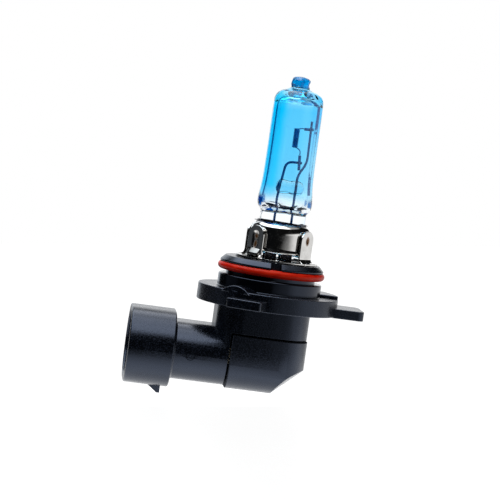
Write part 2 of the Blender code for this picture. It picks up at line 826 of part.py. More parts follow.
def pinch_clip():
    """The clip that grips the pinch inside the cup, with two tongues at the front and two behind."""
    half_width = PINCH_WIDTH / 2 + SNUG_GAP
    half_depth = PINCH_DEPTH / 2 + SNUG_GAP

    def frame(name, grow, low, high, collection, material=None):
        return rounded_prism(
            name,
            (CAPSULE_X - half_width - grow, -half_depth - grow, low),
            (CAPSULE_X + half_width + grow, half_depth + grow, high),
            "Z",
            PINCH_CORNER + SNUG_GAP + grow,
            collection,
            material,
            segments=4,
        )

    clip = frame("pinch_clip", CLIP_SHEET, TONGUE_BOTTOM, CLIP_TOP, PARTS, PLATED_STEEL)
    cut(clip, frame("clip hollow", 0, TONGUE_BOTTOM - 1 * MM, CLIP_TOP + 1 * MM, TOOLS))
    below = TONGUE_BOTTOM - 1 * MM
    reach = 10 * MM
    inner_edge = TONGUE_SLOT / 2
    outer_edge = inner_edge + TONGUE_WIDTH
    for name, left, right in (
        ("clip slot", -inner_edge, inner_edge),
        ("clip left", -reach, -outer_edge),
        ("clip right", outer_edge, reach),
    ):
        low = (CAPSULE_X + left, -reach, below)
        high = (CAPSULE_X + right, reach, CLIP_BOTTOM)
        cut(clip, box(name, low, high, TOOLS))
    return clip


def leg(bearing):
    """One upright leg with a rounded top, made at the front and turned to its bearing."""
    half = LEG_WIDTH / 2
    made = rounded_prism(
        f"leg {bearing}",
        (-half, -LEG_INNER - SHEET, RING_BOTTOM + 0.1 * MM),
        (half, -LEG_INNER, LEG_TOP),
        "Y",
        LEG_CORNER,
        TOOLS,
        segments=5,
        keep=lambda middle: middle.z > 0,
    )
    return stand_at(made, bearing, CAPSULE_X)


def leg_ring():
    """The flat ring on the disc with the four legs bent up from it."""
    ring = cylinder(
        "leg_ring",
        RING_OUTER,
        RING_BOTTOM,
        RING_BOTTOM + SHEET,
        PARTS,
        PLATED_STEEL,
        (CAPSULE_X, 0),
        facets=48,
    )
    join(ring, *[leg(bearing) for bearing in LEG_BEARINGS])
    hole = cylinder(
        "ring hole",
        RING_INNER,
        RING_BOTTOM - 1 * MM,
        RING_BOTTOM + 1 * MM,
        TOOLS,
        centre=(CAPSULE_X, 0),
    )
    cut(ring, hole)
    for bearing in LEG_BEARINGS:
        spot = bearing_point(STAKE_DISTANCE, bearing, centre_x=CAPSULE_X)
        hole = cylinder(
            f"stake hole {bearing}",
            STAKE_RADIUS + SNUG_GAP,
            RING_BOTTOM - 1 * MM,
            RING_BOTTOM + 1 * MM,
            TOOLS,
            centre=spot,
            facets=16,
        )
        cut(ring, hole)
    return ring


# ---- Leads, ferrules and terminals ----


def lead_and_ferrule(side, x):
    """One outer lead from under the pinch to its ferrule in the elbow."""
    centre = (CAPSULE_X + x, 0)
    cylinder(f"{side}_lead", LEAD_RADIUS, LEAD_BOTTOM, LEAD_TOP, PARTS, MOLYBDENUM, centre=centre, facets=12)
    middle = LEAD_BOTTOM + FERRULE_LENGTH / 2 - 0.4 * MM
    low, high = middle - FERRULE_LENGTH / 2, middle + FERRULE_LENGTH / 2
    ferrule = cylinder(
        f"{side}_ferrule", FERRULE_RADIUS, low, high, PARTS, TINNED_BRASS, centre=centre, facets=16
    )
    bore = cylinder(
        f"{side} ferrule bore",
        LEAD_RADIUS + SNUG_GAP,
        low - 1 * MM,
        high + 1 * MM,
        TOOLS,
        centre=centre,
        facets=12,
    )
    cut(ferrule, bore)


def terminal(name, side, lead_x):
    """A blade that runs from the socket through the arm, with a tab that meets one lead's ferrule."""
    y = side * TERMINAL_Y
    half_sheet = TERMINAL_SHEET / 2
    half_width = TERMINAL_WIDTH / 2
    end_x = CAPSULE_X + lead_x + half_width / 2
    tip = 1.0 * MM
    taper = 0.7 * MM
    outline = [
        (TERMINAL_TIP_X, ARM_MIDDLE_Z - half_width + taper),
        (TERMINAL_TIP_X + tip, ARM_MIDDLE_Z - half_width),
        (end_x, ARM_MIDDLE_Z - half_width),
        (end_x, TERMINAL_TAB_TOP),
        (end_x - half_width, TERMINAL_TAB_TOP),
        (end_x - half_width, ARM_MIDDLE_Z + half_width),
        (TERMINAL_TIP_X + tip, ARM_MIDDLE_Z + half_width),
        (TERMINAL_TIP_X, ARM_MIDDLE_Z + half_width - taper),
    ]
    blade = outline_prism(name, outline, "Y", y - half_sheet, y + half_sheet, PARTS, TINNED_BRASS)
    near = FERRULE_RADIUS + SNUG_GAP
    tab_low, tab_high = sorted((side * near, y))
    tab = box(
        f"{name} tab",
        (end_x - half_width + 0.05 * MM, tab_low, TERMINAL_TAB_TOP - 1.9 * MM),
        (end_x - 0.05 * MM, tab_high, TERMINAL_TAB_TOP - 0.05 * MM),
        TOOLS,
    )
    join(blade, tab)
    return blade


base_housing()
elbow_cover()
o_ring()
lead_seal()
glass_envelope()
glass_bridge()
filament()
filament_mount()
bulb_cup()
pinch_clip()
leg_ring()
lead_and_ferrule("left", SHORT_POST_X)
lead_and_ferrule("right", LONG_POST_X)
terminal("front_terminal", -1, SHORT_POST_X)
terminal("rear_terminal", 1, LONG_POST_X)
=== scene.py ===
"""The finished look of the right-angle headlight bulb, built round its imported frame.

Axes are the frame's: +Z along the base axis to the glass tip, -X out of the connector socket, -Y the front.
Bearings round the axis start at the front and turn towards +X. Lengths are metres.
"""

from math import acos, asin, atan2, cos, hypot, pi, radians, sin, sqrt, tan

import bmesh
import bpy
from mathutils import Matrix, Vector, noise


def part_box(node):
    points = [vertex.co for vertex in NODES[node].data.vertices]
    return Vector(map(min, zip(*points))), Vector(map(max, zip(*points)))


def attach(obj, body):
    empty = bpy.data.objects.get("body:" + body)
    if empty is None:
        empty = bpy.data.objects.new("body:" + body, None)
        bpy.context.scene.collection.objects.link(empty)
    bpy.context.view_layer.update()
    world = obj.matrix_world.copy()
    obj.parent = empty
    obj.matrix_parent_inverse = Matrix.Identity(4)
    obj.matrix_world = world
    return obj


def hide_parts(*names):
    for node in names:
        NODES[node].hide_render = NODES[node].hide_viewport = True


MM = 0.001
MERGE = 0.0005 * MM

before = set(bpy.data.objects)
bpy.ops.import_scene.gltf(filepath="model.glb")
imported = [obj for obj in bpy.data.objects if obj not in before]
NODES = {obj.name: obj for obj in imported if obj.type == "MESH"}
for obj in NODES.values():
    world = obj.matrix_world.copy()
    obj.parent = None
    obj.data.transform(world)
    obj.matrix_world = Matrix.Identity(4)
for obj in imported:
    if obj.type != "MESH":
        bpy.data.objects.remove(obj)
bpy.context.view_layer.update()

# ---- Measures read from the frame ----

HOUSING_LOW, HOUSING_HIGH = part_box("base_housing")
COVER_LOW, COVER_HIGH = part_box("elbow_cover")
RING_LOW, RING_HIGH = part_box("o_ring")
GLASS_LOW, GLASS_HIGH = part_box("glass_envelope")
BRIDGE_LOW, BRIDGE_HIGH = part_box("glass_bridge")
POSTS_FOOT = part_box("short_post")[0].z
CUP_LOW, CUP_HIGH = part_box("bulb_cup")
CLIP_LOW, CLIP_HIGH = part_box("pinch_clip")
LEGS_LOW, LEGS_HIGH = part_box("leg_ring")

CAPSULE_X = (CUP_LOW.x + CUP_HIGH.x) / 2
RIGHT_LUG_END = HOUSING_HIGH.x
SOCKET_MOUTH_X = HOUSING_LOW.x
LATCH_BOTTOM = HOUSING_LOW.z
COVER_BOTTOM = COVER_LOW.z

# ---- Base moulding ----

DISC_TOP = LEGS_LOW.z - 0.12 * MM
DISC_RADIUS = 10.1 * MM
DISC_BOTTOM = DISC_TOP - 1.2 * MM
DISC_CHAMFER = 0.9 * MM
GROOVE_RADIUS = 8.7 * MM
PILOT_RADIUS = 10.1 * MM
PILOT_TOP = 3.9 * MM
FLANGE_RADIUS = 13.7 * MM
FLANGE_TOP = 1.5 * MM
FLANGE_BOTTOM = -1.7 * MM
NECK_BORE_RADIUS = 4.6 * MM
# Bearing, width, outer end, underside, upper face and corner radius
LUGS = (
    (-20, 6.7 * MM, 17.8 * MM, -1.35 * MM, 0.4 * MM, 0.45 * MM),
    (90, 9.6 * MM, RIGHT_LUG_END, -1.85 * MM, 0, 1.3 * MM),
    (210, 6.7 * MM, 17.8 * MM, -1.7 * MM, 0, 0.45 * MM),
)
EDGE = 0.15 * MM
HUMP_BEARING = -33
HUMP_RADIUS = 4.1 * MM
HUMP_RISE = 0.95 * MM
STEP_RISE = 0.6 * MM
STEP_BEARINGS = (88, 122)
NOTCH_WIDTH = 2.1 * MM
NOTCH_DEPTH = 1.5 * MM
NOTCH_BEARING = -1

BODY_LEFT = -9.75 * MM
BODY_RIGHT = 8.3 * MM
BODY_WIDTH = 17.4 * MM
BODY_CORNER = 5.2 * MM
SEAM_Z = -6.95 * MM
SEAM_X = -6.6 * MM
SEAM_GAP = COVER_LOW.x - SEAM_X
SEAM_SHADOW = 0.1 * MM
ARM_MIDDLE_Z = -12.0 * MM
ARM_HEIGHT = 11.15 * MM
ARM_WIDTH = 16.6 * MM
SOCKET_HEIGHT = 14.65 * MM
SOCKET_WIDTH = 20.0 * MM
SOCKET_WALL = 1.3 * MM
SOCKET_BACK_X = -17.2 * MM
SOCKET_FLOOR_X = -17.7 * MM
LATCH_WIDTH = 5.0 * MM
LATCH_X = (-21.0 * MM, -19.1 * MM, -18.5 * MM)
KEY_RIB = 0.9 * MM
KEY_RIB_Y = 4.9 * MM
KEY_RIB_RISE = 1.7 * MM
# Ejector marks on the front: x, z, the face's y, radius and how deep the ring is cut
EJECTOR_MARKS = (
    (0.8 * MM, -4.5 * MM, -BODY_WIDTH / 2, 0.75 * MM, 0.1 * MM),
    (-13.9 * MM, -12.2 * MM, -ARM_WIDTH / 2, 0.9 * MM, 0.16 * MM),
)

# The lips behind the seam: overlap with the housing, gap to the cover, half depth, lower end and right end
LIP_REACH = 0.2 * MM
LIP_CLEARANCE = 0.03 * MM
LIP_HALF_DEPTH = 4 * MM
LIP_FOOT = -16 * MM
LIP_END = 7.4 * MM

COVER_PROUD = 0.2 * MM
COVER_WALL = 1.7 * MM
COVER_EDGE_RADIUS = 5.4 * MM
CHAMFER_TOP_Z = -12.85 * MM
CHAMFER_END_X = 2.8 * MM
CHAMFER_CROWN_RADIUS = 24 * MM
# How far the crown's middle stands outside the CAD's flat slant
CHAMFER_PROUD = 0.22 * MM

# ---- Metal ----

SHEET = 0.35 * MM
CUP_RADIUS = 5.85 * MM
CUP_SHOULDER = 1.3 * MM
CUP_CROWN = 0.28 * MM
CUP_SLOW_BEND = 4.4 * MM
# Where the shoulder's tight bend ends and the slow one starts, in degrees above level
CUP_TILT = 15
CUP_OPENING = 5.0 * MM
CLIP_SHEET = 0.3 * MM
CLIP_BOTTOM = 9.8 * MM
CLIP_CORNER = 1.6 * MM
TONGUE_WIDTH = 2.2 * MM
TONGUE_SLOT = 0.85 * MM
LEG_INNER = 6.05 * MM
LEG_WIDTH = 4.2 * MM
LEG_CORNER = 1.9 * MM
LEG_FOOT = 0.95 * MM
LEG_BEARINGS = (-52, 52, 128, -128)
RING_OUTER = 8.0 * MM
RING_INNER = 5.5 * MM
STAKE_DISTANCE = 7.2 * MM
STAKE_HEAD = (1.45 * MM, 0.62 * MM, 0.55 * MM)
DIMPLE_LOW = 9.4 * MM
DIMPLE_HIGH = 13.0 * MM
DIMPLE_RADIUS = 0.95 * MM
DIMPLE_DEPTH = 0.2 * MM
WELD_Z = 12.1 * MM
WELD_PIT_RADIUS = 0.55 * MM
GUSSET_TOP = 9.6 * MM
GUSSET_WIDTH = 3.3 * MM
LEG_EDGE = 0.1 * MM

# ---- Glass ----

# The melted tip's height, how slowly it starts, how far it is pushed about and how far it leans to the left
TIP_HEIGHT = 2.75 * MM
TIP_START = 0.6 * MM
TIP_PUSH = 0.3 * MM
TIP_LEAN = 0.12 * MM
# The hollow's dome: its centre, where its ripples start, how slowly, how deep they are and their size
DOME_CENTRE_Z = 35.5 * MM
DOME_LOW_Z = 36.2 * MM
DOME_START = 2.2 * MM
DOME_PUSH = 0.09 * MM
DOME_RIPPLE = 1.5 * MM

# ---- Terminals ----

TERMINAL_Y = 3.3 * MM
BLADE_HALF_HEIGHT = 1.4 * MM
BLADE_THICKNESS = 0.8 * MM
SLOT_HALF_HEIGHT = 1.7 * MM
SLOT_HALF_WIDTH = 0.7 * MM

# ---- Filament mount, from the capsule axis ----

POST_RADIUS = 0.24 * MM
POST_BEND = 1.3 * MM
CLAMP_RADIUS = 0.28 * MM
CLAMP_Y = -0.55 * MM
COIL_X = 0.42 * MM
COIL_RADIUS = 0.48 * MM
COIL_WIRE = 0.1 * MM
COIL_LOW = 29.65 * MM
COIL_HIGH = 33.35 * MM
COIL_TURNS = 15

# ---- Scene ----

CAMERA_AIM = Vector((-4.65 * MM, 0, 8.79 * MM))
CAMERA_AZIMUTH = -5.5
CAMERA_ELEVATION = 3.5
CAMERA_ROLL = 8.0
CAMERA_DISTANCE = 380 * MM
CAMERA_LENS = 141
FLOOR_HALF_SIZE = 400 * MM
FLOOR_CLEARANCE = 0.02 * MM

FACETS = 160
ARC_STEPS = 12
# Further out than the object reaches
FAR = 20 * MM
WHITE = (1, 1, 1, 1)


# ---- Camera, light and floor ----


def make_camera():
    """A long lens at the front, a little above the lugs, rolled so that the bulb leans to the right."""
    azimuth, elevation = radians(CAMERA_AZIMUTH), radians(CAMERA_ELEVATION)
    back = Vector((sin(azimuth) * cos(elevation), -cos(azimuth) * cos(elevation), sin(elevation)))
    right = (-back).cross(Vector((0, 0, 1))).normalized()
    up = right.cross(-back)
    turn = Matrix.Rotation(radians(CAMERA_ROLL), 3, back)
    data = bpy.data.cameras.new("camera")
    data.lens = CAMERA_LENS
    data.sensor_width = 36
    data.clip_start = 1 * MM
    camera = bpy.data.objects.new("camera", data)
    bpy.context.scene.collection.objects.link(camera)
    pose = Matrix((turn @ right, turn @ up, back)).transposed().to_4x4()
    pose.translation = CAMERA_AIM + back * CAMERA_DISTANCE
    camera.matrix_world = pose
    bpy.context.scene.camera = camera


def floor_slope():
    """The floor's tilt about Y: it touches the latch's lower edge and the corner where the slant starts."""
    run = CHAMFER_END_X - (LATCH_X[1] + LATCH_X[2]) / 2
    return atan2(COVER_BOTTOM - LATCH_BOTTOM, run)


def make_floor(material):
    """A pale floor that the bulb leans on. It is seen from above only."""
    shape = bmesh.new()
    bmesh.ops.create_grid(shape, x_segments=1, y_segments=1, size=FLOOR_HALF_SIZE)
    made = solid("floor", shape)
    made.data.materials.append(material)
    corner = Matrix.Translation((CHAMFER_END_X, 0, COVER_BOTTOM - FLOOR_CLEARANCE))
    made.matrix_world = corner @ Matrix.Rotation(-floor_slope(), 4, "Y")


# ---- Node helpers ----


class Number:
    """A number that the nodes work out. Arithmetic on it adds Math nodes."""

    def __init__(self, nodes, socket):
        self.nodes = nodes
        self.socket = socket

    def __add__(self, other):
        return self.nodes.math("ADD", self, other)

    def __sub__(self, other):
        return self.nodes.math("SUBTRACT", self, other)

    def __rsub__(self, other):
        return self.nodes.math("SUBTRACT", other, self)

    def __mul__(self, other):
        return self.nodes.math("MULTIPLY", self, other)

    def __truediv__(self, other):
        return self.nodes.math("DIVIDE", self, other)

    def __abs__(self):
        return self.nodes.math("ABSOLUTE", self)

    def larger(self, other):
        """The larger of two numbers."""
        return self.nodes.math("MAXIMUM", self, other)

    def rise(self, low, high, start=0.0, end=1.0):
        """start below low, end above high, and a smooth step between."""
        ends = {"From_Min": low, "From_Max": high, "To_Min": start, "To_Max": end}
        made = self.nodes.add("ShaderNodeMapRange", {"interpolation_type": "SMOOTHSTEP"}, Value=self, **ends)
        return Number(self.nodes, made.outputs[0])

    def fall(self, low, high):
        """1 below low, 0 above high, and a smooth step between."""
        return self.rise(low, high, 1.0, 0.0)


class Nodes:
    """A node tree with short calls to add nodes, set their inputs and link them."""

    def __init__(self, tree):
        self.tree = tree

    def add(self, kind, settings=None, **inputs):
        """A new node. settings are its own properties, and inputs are values or sockets by input name."""
        made = self.tree.nodes.new(kind)
        for name, value in (settings or {}).items():
            setattr(made, name, value)
        for name, value in inputs.items():
            self.put(made, name.replace("_", " "), value)
        return made

    def put(self, node, name, value):
        """Sets one input, found by name or place, to a value, or links a number, a socket or a node to it."""
        target = node.inputs[name]
        if isinstance(value, Number):
            value = value.socket
        elif isinstance(value, bpy.types.Node):
            value = value.outputs[0]
        if isinstance(value, bpy.types.NodeSocket):
            self.tree.links.new(value, target)
        else:
            target.default_value = value

    def math(self, operation, *values):
        """The number that a Math node gives."""
        made = self.add("ShaderNodeMath", {"operation": operation})
        for index, value in enumerate(values):
            self.put(made, index, value)
        return Number(self, made.outputs[0])

    def vector(self, operation, first, second):
        """The vector that a Vector Math node gives."""
        made = self.add("ShaderNodeVectorMath", {"operation": operation}, Vector=first)
        self.put(made, 1, second)
        return made.outputs[0]

    def mix(self, factor, first, second):
        """A colour between two colours."""
        made = self.add("ShaderNodeMix", {"data_type": "RGBA"})
        self.put(made, 0, factor)
        for index, colour in ((6, first), (7, second)):
            self.put(made, index, (*colour, 1) if isinstance(colour, tuple) else colour)
        return made.outputs[2]

    def mix_shader(self, factor, first, second):
        """A shader between two shaders."""
        made = self.add("ShaderNodeMixShader")
        for index, value in enumerate((factor, first, second)):
            self.put(made, index, value)
        return made.outputs[0]

    def ramp(self, factor, *stops):
        """A colour ramp with (place, colour) stops."""
        made = self.add("ShaderNodeValToRGB", Fac=factor)
        elements = made.color_ramp.elements
        while len(elements) < len(stops):
            elements.new(0.5)
        for element, (place, colour) in zip(elements, stops):
            element.position = place
            element.color = (*colour, 1)
        return made.outputs[0]

    def place_mm(self):
        """Places on the piece in millimetres, which are the frame's own coordinates."""
        place = self.add("ShaderNodeTexCoord").outputs["Object"]
        return self.add("ShaderNodeVectorMath", {"operation": "SCALE"}, Vector=place, Scale=1 / MM).outputs[0]

    def noise(self, place, size, detail=3.0, roughness=0.5):
        """Noise whose blobs are about this many millimetres across."""
        inputs = {"Vector": place, "Scale": 1 / size, "Detail": detail, "Roughness": roughness}
        return Number(self, self.add("ShaderNodeTexNoise", **inputs).outputs["Fac"])

    def axes(self, place):
        """x, y and z of a vector."""
        return [Number(self, socket) for socket in self.add("ShaderNodeSeparateXYZ", Vector=place).outputs]

    def radius(self, x, y):
        """The distance from the upright axis."""
        return self.math("SQRT", x * x + y * y)

    def bearing(self, x, y):
        """The bearing round the upright axis, in radians."""
        return self.math("ARCTAN2", x, y * -1)

    def bump(self, height, depth_mm):
        """The normal that a height gives, where 1 stands this many millimetres above 0."""
        return self.add("ShaderNodeBump", Height=height, Strength=1.0, Distance=depth_mm * MM).outputs[0]


def new_material(name, **inputs):
    """A Principled material: its material, node helper and shader. inputs are the shader's, by name."""
    made = bpy.data.materials.new(name)
    made.use_nodes = True
    nodes = Nodes(made.node_tree)
    shader = made.node_tree.nodes["Principled BSDF"]
    set_inputs(nodes, shader, **inputs)
    return made, nodes, shader


def set_inputs(nodes, shader, **inputs):
    """Sets a shader's inputs, by name."""
    for name, value in inputs.items():
        nodes.put(shader, name.replace("_", " "), value)


# ---- World ----

# Bearing in degrees and brightness of the wall round the right-hand side
SIDE_WALL = ((0, 0.0), (12, 0.02), (20, 0.22), (37, 0.62), (62, 0.95), (112, 1.05), (130, 0.65), (180, 0.5))
SIDE_WALL_END = (112, 124)
BACKDROP_START = (138, 150)
# How much further round the backdrop starts for what isn't seen through glass
BACKDROP_SET_BACK = 9
BACKDROP_LIGHT = (1.13, 0.34)
LEFT_PANEL_LIGHT = 0.05
ROOM_LIGHT = 0.004
SOFTBOX_LIGHT = 3.0
SOFTBOX_SHIELD = 0.85
THROUGH_LIGHT = 0.24


def make_world():
    """A white studio: an overhead softbox, bright walls behind and beside, a dark room on the camera's side.

    What is seen through glass is never darker than a dim navy. The camera itself sees plain white.
    """
    world = bpy.data.worlds.new("studio")
    world.use_nodes = True
    bpy.context.scene.world = world
    nodes = Nodes(world.node_tree)
    outward = nodes.add("ShaderNodeTexCoord").outputs["Generated"]
    about_y = {"rotation_type": "Y_AXIS"}
    levelled = nodes.add("ShaderNodeVectorRotate", about_y, Vector=outward, Angle=floor_slope())
    x, y, z = nodes.axes(levelled.outputs[0])
    bearing = nodes.bearing(x, y)
    path = nodes.add("ShaderNodeLightPath")
    through = Number(nodes, path.outputs["Is Transmission Ray"])
    solid_only = 1 - through

    wall_stops = [(place / 180, (light, light, light)) for place, light in SIDE_WALL]
    side = Number(nodes, nodes.ramp(bearing / radians(180), *wall_stops))
    side_end = bearing.fall(*map(radians, SIDE_WALL_END)).larger(solid_only)
    side = side * side_end * z.fall(0.03, 0.12)
    behind = (abs(bearing) - solid_only * radians(BACKDROP_SET_BACK)).rise(*map(radians, BACKDROP_START))
    backdrop = behind * z.rise(0.45, 0.6, *BACKDROP_LIGHT)
    left_panel = bearing.rise(radians(-122), radians(-112)) * bearing.fall(radians(-88), radians(-74))
    left_panel = left_panel * z.rise(0.25, 0.45, LEFT_PANEL_LIGHT, 0.0)
    wall = side.larger(backdrop).larger(left_panel + ROOM_LIGHT)

    overhead = z.rise(0.62, 0.78)
    shield = bearing.rise(radians(38), radians(62)) * bearing.fall(radians(140), radians(165))
    shield = shield * z.rise(0.92, 0.98, SOFTBOX_SHIELD, 0.0)
    light = wall * (1 - overhead) + overhead * (1 - shield) * SOFTBOX_LIGHT
    light = light.larger(through * THROUGH_LIGHT)

    tint = nodes.mix(x.rise(-0.7, 0.3), (0.80, 0.90, 1.0), (1.0, 1.0, 1.0))
    tint = nodes.mix(light.fall(THROUGH_LIGHT, 0.5) * through, tint, (0.10, 0.38, 1.0))
    background = world.node_tree.nodes["Background"]
    set_inputs(nodes, background, Color=tint, Strength=light)
    plain = nodes.add("ShaderNodeBackground", Color=WHITE, Strength=1.0)
    seen = nodes.mix_shader(path.outputs["Is Camera Ray"], background, plain)
    nodes.put(world.node_tree.nodes["World Output"], "Surface", seen)


def floor_material():
    """A white light table with a faint satin reflection, open from below.

    It glows evenly to the camera and through glass. What it lights, and what mirrors it, get less in front.
    """
    made, nodes, shader = new_material("white_floor")
    made.node_tree.nodes.remove(shader)
    place = nodes.place_mm()
    x, y, z = nodes.axes(place)
    near = y.rise(-45, -8, 0.0, 0.85) * nodes.radius(x, y).rise(35, 80, 1.75, 1.0) * y.rise(2, 14, 1.0, 0.6)
    right = x.rise(2, 11) * y.rise(-420, -60, 0.02, 0.34)
    beside = nodes.bearing(x, y).rise(radians(14), radians(60), 0.0, 0.85)
    path = nodes.add("ShaderNodeLightPath")
    seen = nodes.math("MAXIMUM", path.outputs["Is Camera Ray"], path.outputs["Is Transmission Ray"])
    light = near.larger(right.larger(beside)).larger(seen * 1.10)
    glow = nodes.add("ShaderNodeEmission", Color=WHITE, Strength=light)
    satin = nodes.noise(place, 40).rise(0.3, 0.7, 0.26, 0.30)
    gloss = nodes.add("ShaderNodeBsdfGlossy", Color=WHITE, Roughness=satin)
    top = nodes.mix_shader(0.12, glow, gloss)
    below = nodes.add("ShaderNodeNewGeometry").outputs["Backfacing"]
    surface = nodes.mix_shader(below, top, nodes.add("ShaderNodeBsdfTransparent"))
    nodes.put(made.node_tree.nodes["Material Output"], "Surface", surface)
    return made


# ---- Materials ----


# Where the front starts to bend away downwards, and to the right, in millimetres, how strongly and how far
LOW_BEND = (-9.5, 0.74, 3.1)
RIGHT_BEND = (0.5, 0.62, 3.0)


def seam_gap(x, z):
    """1 inside the gap between housing and cover, along its top and down its left side."""
    left, upper = SEAM_X / MM, SEAM_Z / MM
    half_gap = (SEAM_GAP + SEAM_SHADOW) / 2 / MM
    from_top = abs(z - (SEAM_Z + SEAM_SHADOW + COVER_HIGH.z) / 2 / MM)
    from_side = abs(x - (SEAM_X - SEAM_SHADOW + COVER_LOW.x) / 2 / MM)
    top = from_top.fall(half_gap + 0.03, half_gap + 0.06) * x.rise(left - 0.2, left - 0.1)
    side = from_side.fall(half_gap + 0.03, half_gap + 0.06) * z.fall(upper + 0.05, upper + 0.15)
    return top.larger(side)


def sagging(distance, bend, span):
    """How far a face has bent away. It bends over this span beyond distance 0, then goes on straight."""
    start = distance.larger(0)
    end = (start - span).larger(0)
    return (start * start - end * end) * bend


def black_nylon():
    """Glass-filled nylon: dark blue-grey, grained and flecked from an eroded mould, smooth round the pilot.

    The flange's outer edges carry a paler painted highlight, the gap round the cover is painted black as
    shade, and the front bends away slowly towards the cover's lower edge and the right-hand edge.
    """
    # The blue specular tint is painted light: it colours the nylon's reflections as a bluish light would.
    made, nodes, shader = new_material(
        "black_nylon", Specular_IOR_Level=0.5, IOR=1.6, Specular_Tint=(0.60, 0.72, 1.0, 1)
    )
    place = nodes.place_mm()
    x, y, z = nodes.axes(place)
    grain = nodes.noise(place, 0.35, detail=4, roughness=0.65)
    fine = nodes.noise(place, 0.28, detail=3, roughness=0.7)
    cloud = nodes.noise(place, 3.5, detail=4)
    pilot, flange = PILOT_RADIUS / MM, FLANGE_TOP / MM
    polished = nodes.radius(x, y).fall(pilot + 0.2, pilot + 0.4) * z.rise(flange - 0.1, flange + 0.1)
    polished = polished * z.fall(6.0, 6.3)
    moulded = 1 - polished
    gap = seam_gap(x, z)

    inside = {"inside": True, "only_local": True, "samples": 6}
    solid_round = nodes.add("ShaderNodeAmbientOcclusion", inside, Distance=0.2 * MM).outputs["AO"]
    flange_only = z.rise(-2.6, -2.4) * z.fall(2.6, 2.8)
    outer_edge = Number(nodes, solid_round).fall(0.62, 0.92) * moulded * flange_only
    # Painted highlight: the flange's outer edges are painted paler, unevenly with the grain, for the light
    # their rounded edges catch.
    painted_edge_highlight = outer_edge * grain.rise(0.35, 0.6, 0.35, 1.0)
    colour = nodes.mix(cloud.rise(0.3, 0.7), (0.0006, 0.0008, 0.0014), (0.0013, 0.0018, 0.0032))
    colour = nodes.mix(fine.rise(0.52, 0.72) * moulded, colour, (0.008, 0.011, 0.021))
    # Painted shade: the walls of the gap round the cover are painted near black, for the shade inside the
    # gap.
    colour = nodes.mix(gap, colour, (0.0004, 0.0005, 0.0006))
    colour = nodes.mix(painted_edge_highlight, colour, (0.12, 0.13, 0.16))

    roughness = (grain + cloud * 0.5).rise(0.5, 1.0, 0.15, 0.24) + fine.rise(0.42, 0.62, 0.0, 0.13) * moulded
    roughness = roughness.larger(gap) - polished * 0.06
    height = grain * (1 - polished * 0.92) * (1 - gap)
    low_start, *low_bend = LOW_BEND
    low_face = sagging(low_start - z, *low_bend) * x.rise(-6.45, -6.35)
    right_start, *right_bend = RIGHT_BEND
    right_face = sagging(x - right_start, *right_bend) * z.fall(-1.9, -1.8)
    normal = nodes.bump(height - (low_face + right_face), 0.019)
    set_inputs(nodes, shader, Base_Color=colour, Roughness=roughness, Normal=normal)
    return made


def mottled(name, blobs, light, dark, roughness, waves, **inputs):
    """A finish of two mottled colours and roughnesses under fine waves.

    blobs and waves are (size, detail) and (size, detail, height) in millimetres. inputs are the shader's.
    """
    made, nodes, shader = new_material(name, **inputs)
    place = nodes.place_mm()
    cloud = nodes.noise(place, *blobs)
    colour = nodes.mix(cloud.rise(0.3, 0.7), light, dark)
    normal = nodes.bump(nodes.noise(place, *waves[:2]), waves[2])
    set_inputs(nodes, shader, Base_Color=colour, Roughness=cloud.rise(0.3, 0.7, *roughness), Normal=normal)
    return made


def red_rubber():
    """Silicone: orange-red, softly shiny, with dust and a faint moulding grain."""
    return mottled(
        "red_rubber",
        (1.6, 4),
        (0.52, 0.006, 0.0003),
        (0.64, 0.012, 0.0006),
        (0.32, 0.45),
        (0.6, 3, 0.003),
        Specular_IOR_Level=0.24,
        Specular_Tint=(1.0, 0.75, 0.5, 1),
        Subsurface_Weight=0.1,
        Subsurface_Radius=(1.0 * MM, 0.3 * MM, 0.15 * MM),
        Subsurface_Scale=1.0,
    )


def plated_steel(weld_spots):
    """Bright nickel plate: faint drawing marks, smudges, and brown heat tint round the spot welds.

    The gusset at the left and the leg's foot beside it are painted darker, a painted shade that dims their
    highlight.
    """
    made, nodes, shader = new_material("plated_steel")
    place = nodes.place_mm()
    x, y, z = nodes.axes(place)
    smudge = nodes.noise(place, 1.5, detail=5, roughness=0.6)
    marks = nodes.noise(nodes.vector("MULTIPLY", place, (1, 1, 3)), 2.5, detail=2)
    colour = nodes.mix(smudge.rise(0.35, 0.7), (0.90, 0.89, 0.87), (0.76, 0.75, 0.73))
    # Painted shade: the left gusset and the foot beside it are darkened to dim their highlight.
    colour = nodes.mix(z.fall(9.5, 9.7) * x.fall(-3.6, -3.2), colour, (0.29, 0.28, 0.26))
    tinted = smudge * 0.0
    for spot, (across, up) in weld_spots:
        apart = nodes.vector("SUBTRACT", place, [v / MM for v in spot])
        squeezed = nodes.vector("MULTIPLY", apart, (1 / across, 1 / across, 1 / up))
        length = nodes.add("ShaderNodeVectorMath", {"operation": "LENGTH"}, Vector=squeezed).outputs["Value"]
        uneven = Number(nodes, length) + (smudge - 0.5) * 0.9
        brown = uneven.fall(0.45, 1.05)
        colour = nodes.mix(brown, colour, (0.17, 0.075, 0.022))
        colour = nodes.mix(uneven.fall(0.05, 0.45), colour, (0.022, 0.010, 0.004))
        tinted = tinted.larger(brown)
    metal = tinted.rise(0.0, 1.0, 1.0, 0.55)
    roughness = smudge.rise(0.35, 0.75, 0.05, 0.16) + tinted * 0.28
    normal = nodes.bump(marks, 0.003)
    set_inputs(nodes, shader, Base_Color=colour, Metallic=metal, Roughness=roughness, Normal=normal)
    return made


def wire_metal(name, light, dark, roughness, metallic=1.0):
    """Drawn wire or tinned sheet: fine marks, slightly uneven colour."""
    rough = (roughness, roughness + 0.15)
    return mottled(name, (0.6, 4), light, dark, rough, (0.12, 3, 0.004), Metallic=metallic)


GLASS = {"Transmission_Weight": 1.0, "Roughness": 0.0, "IOR": 1.49}
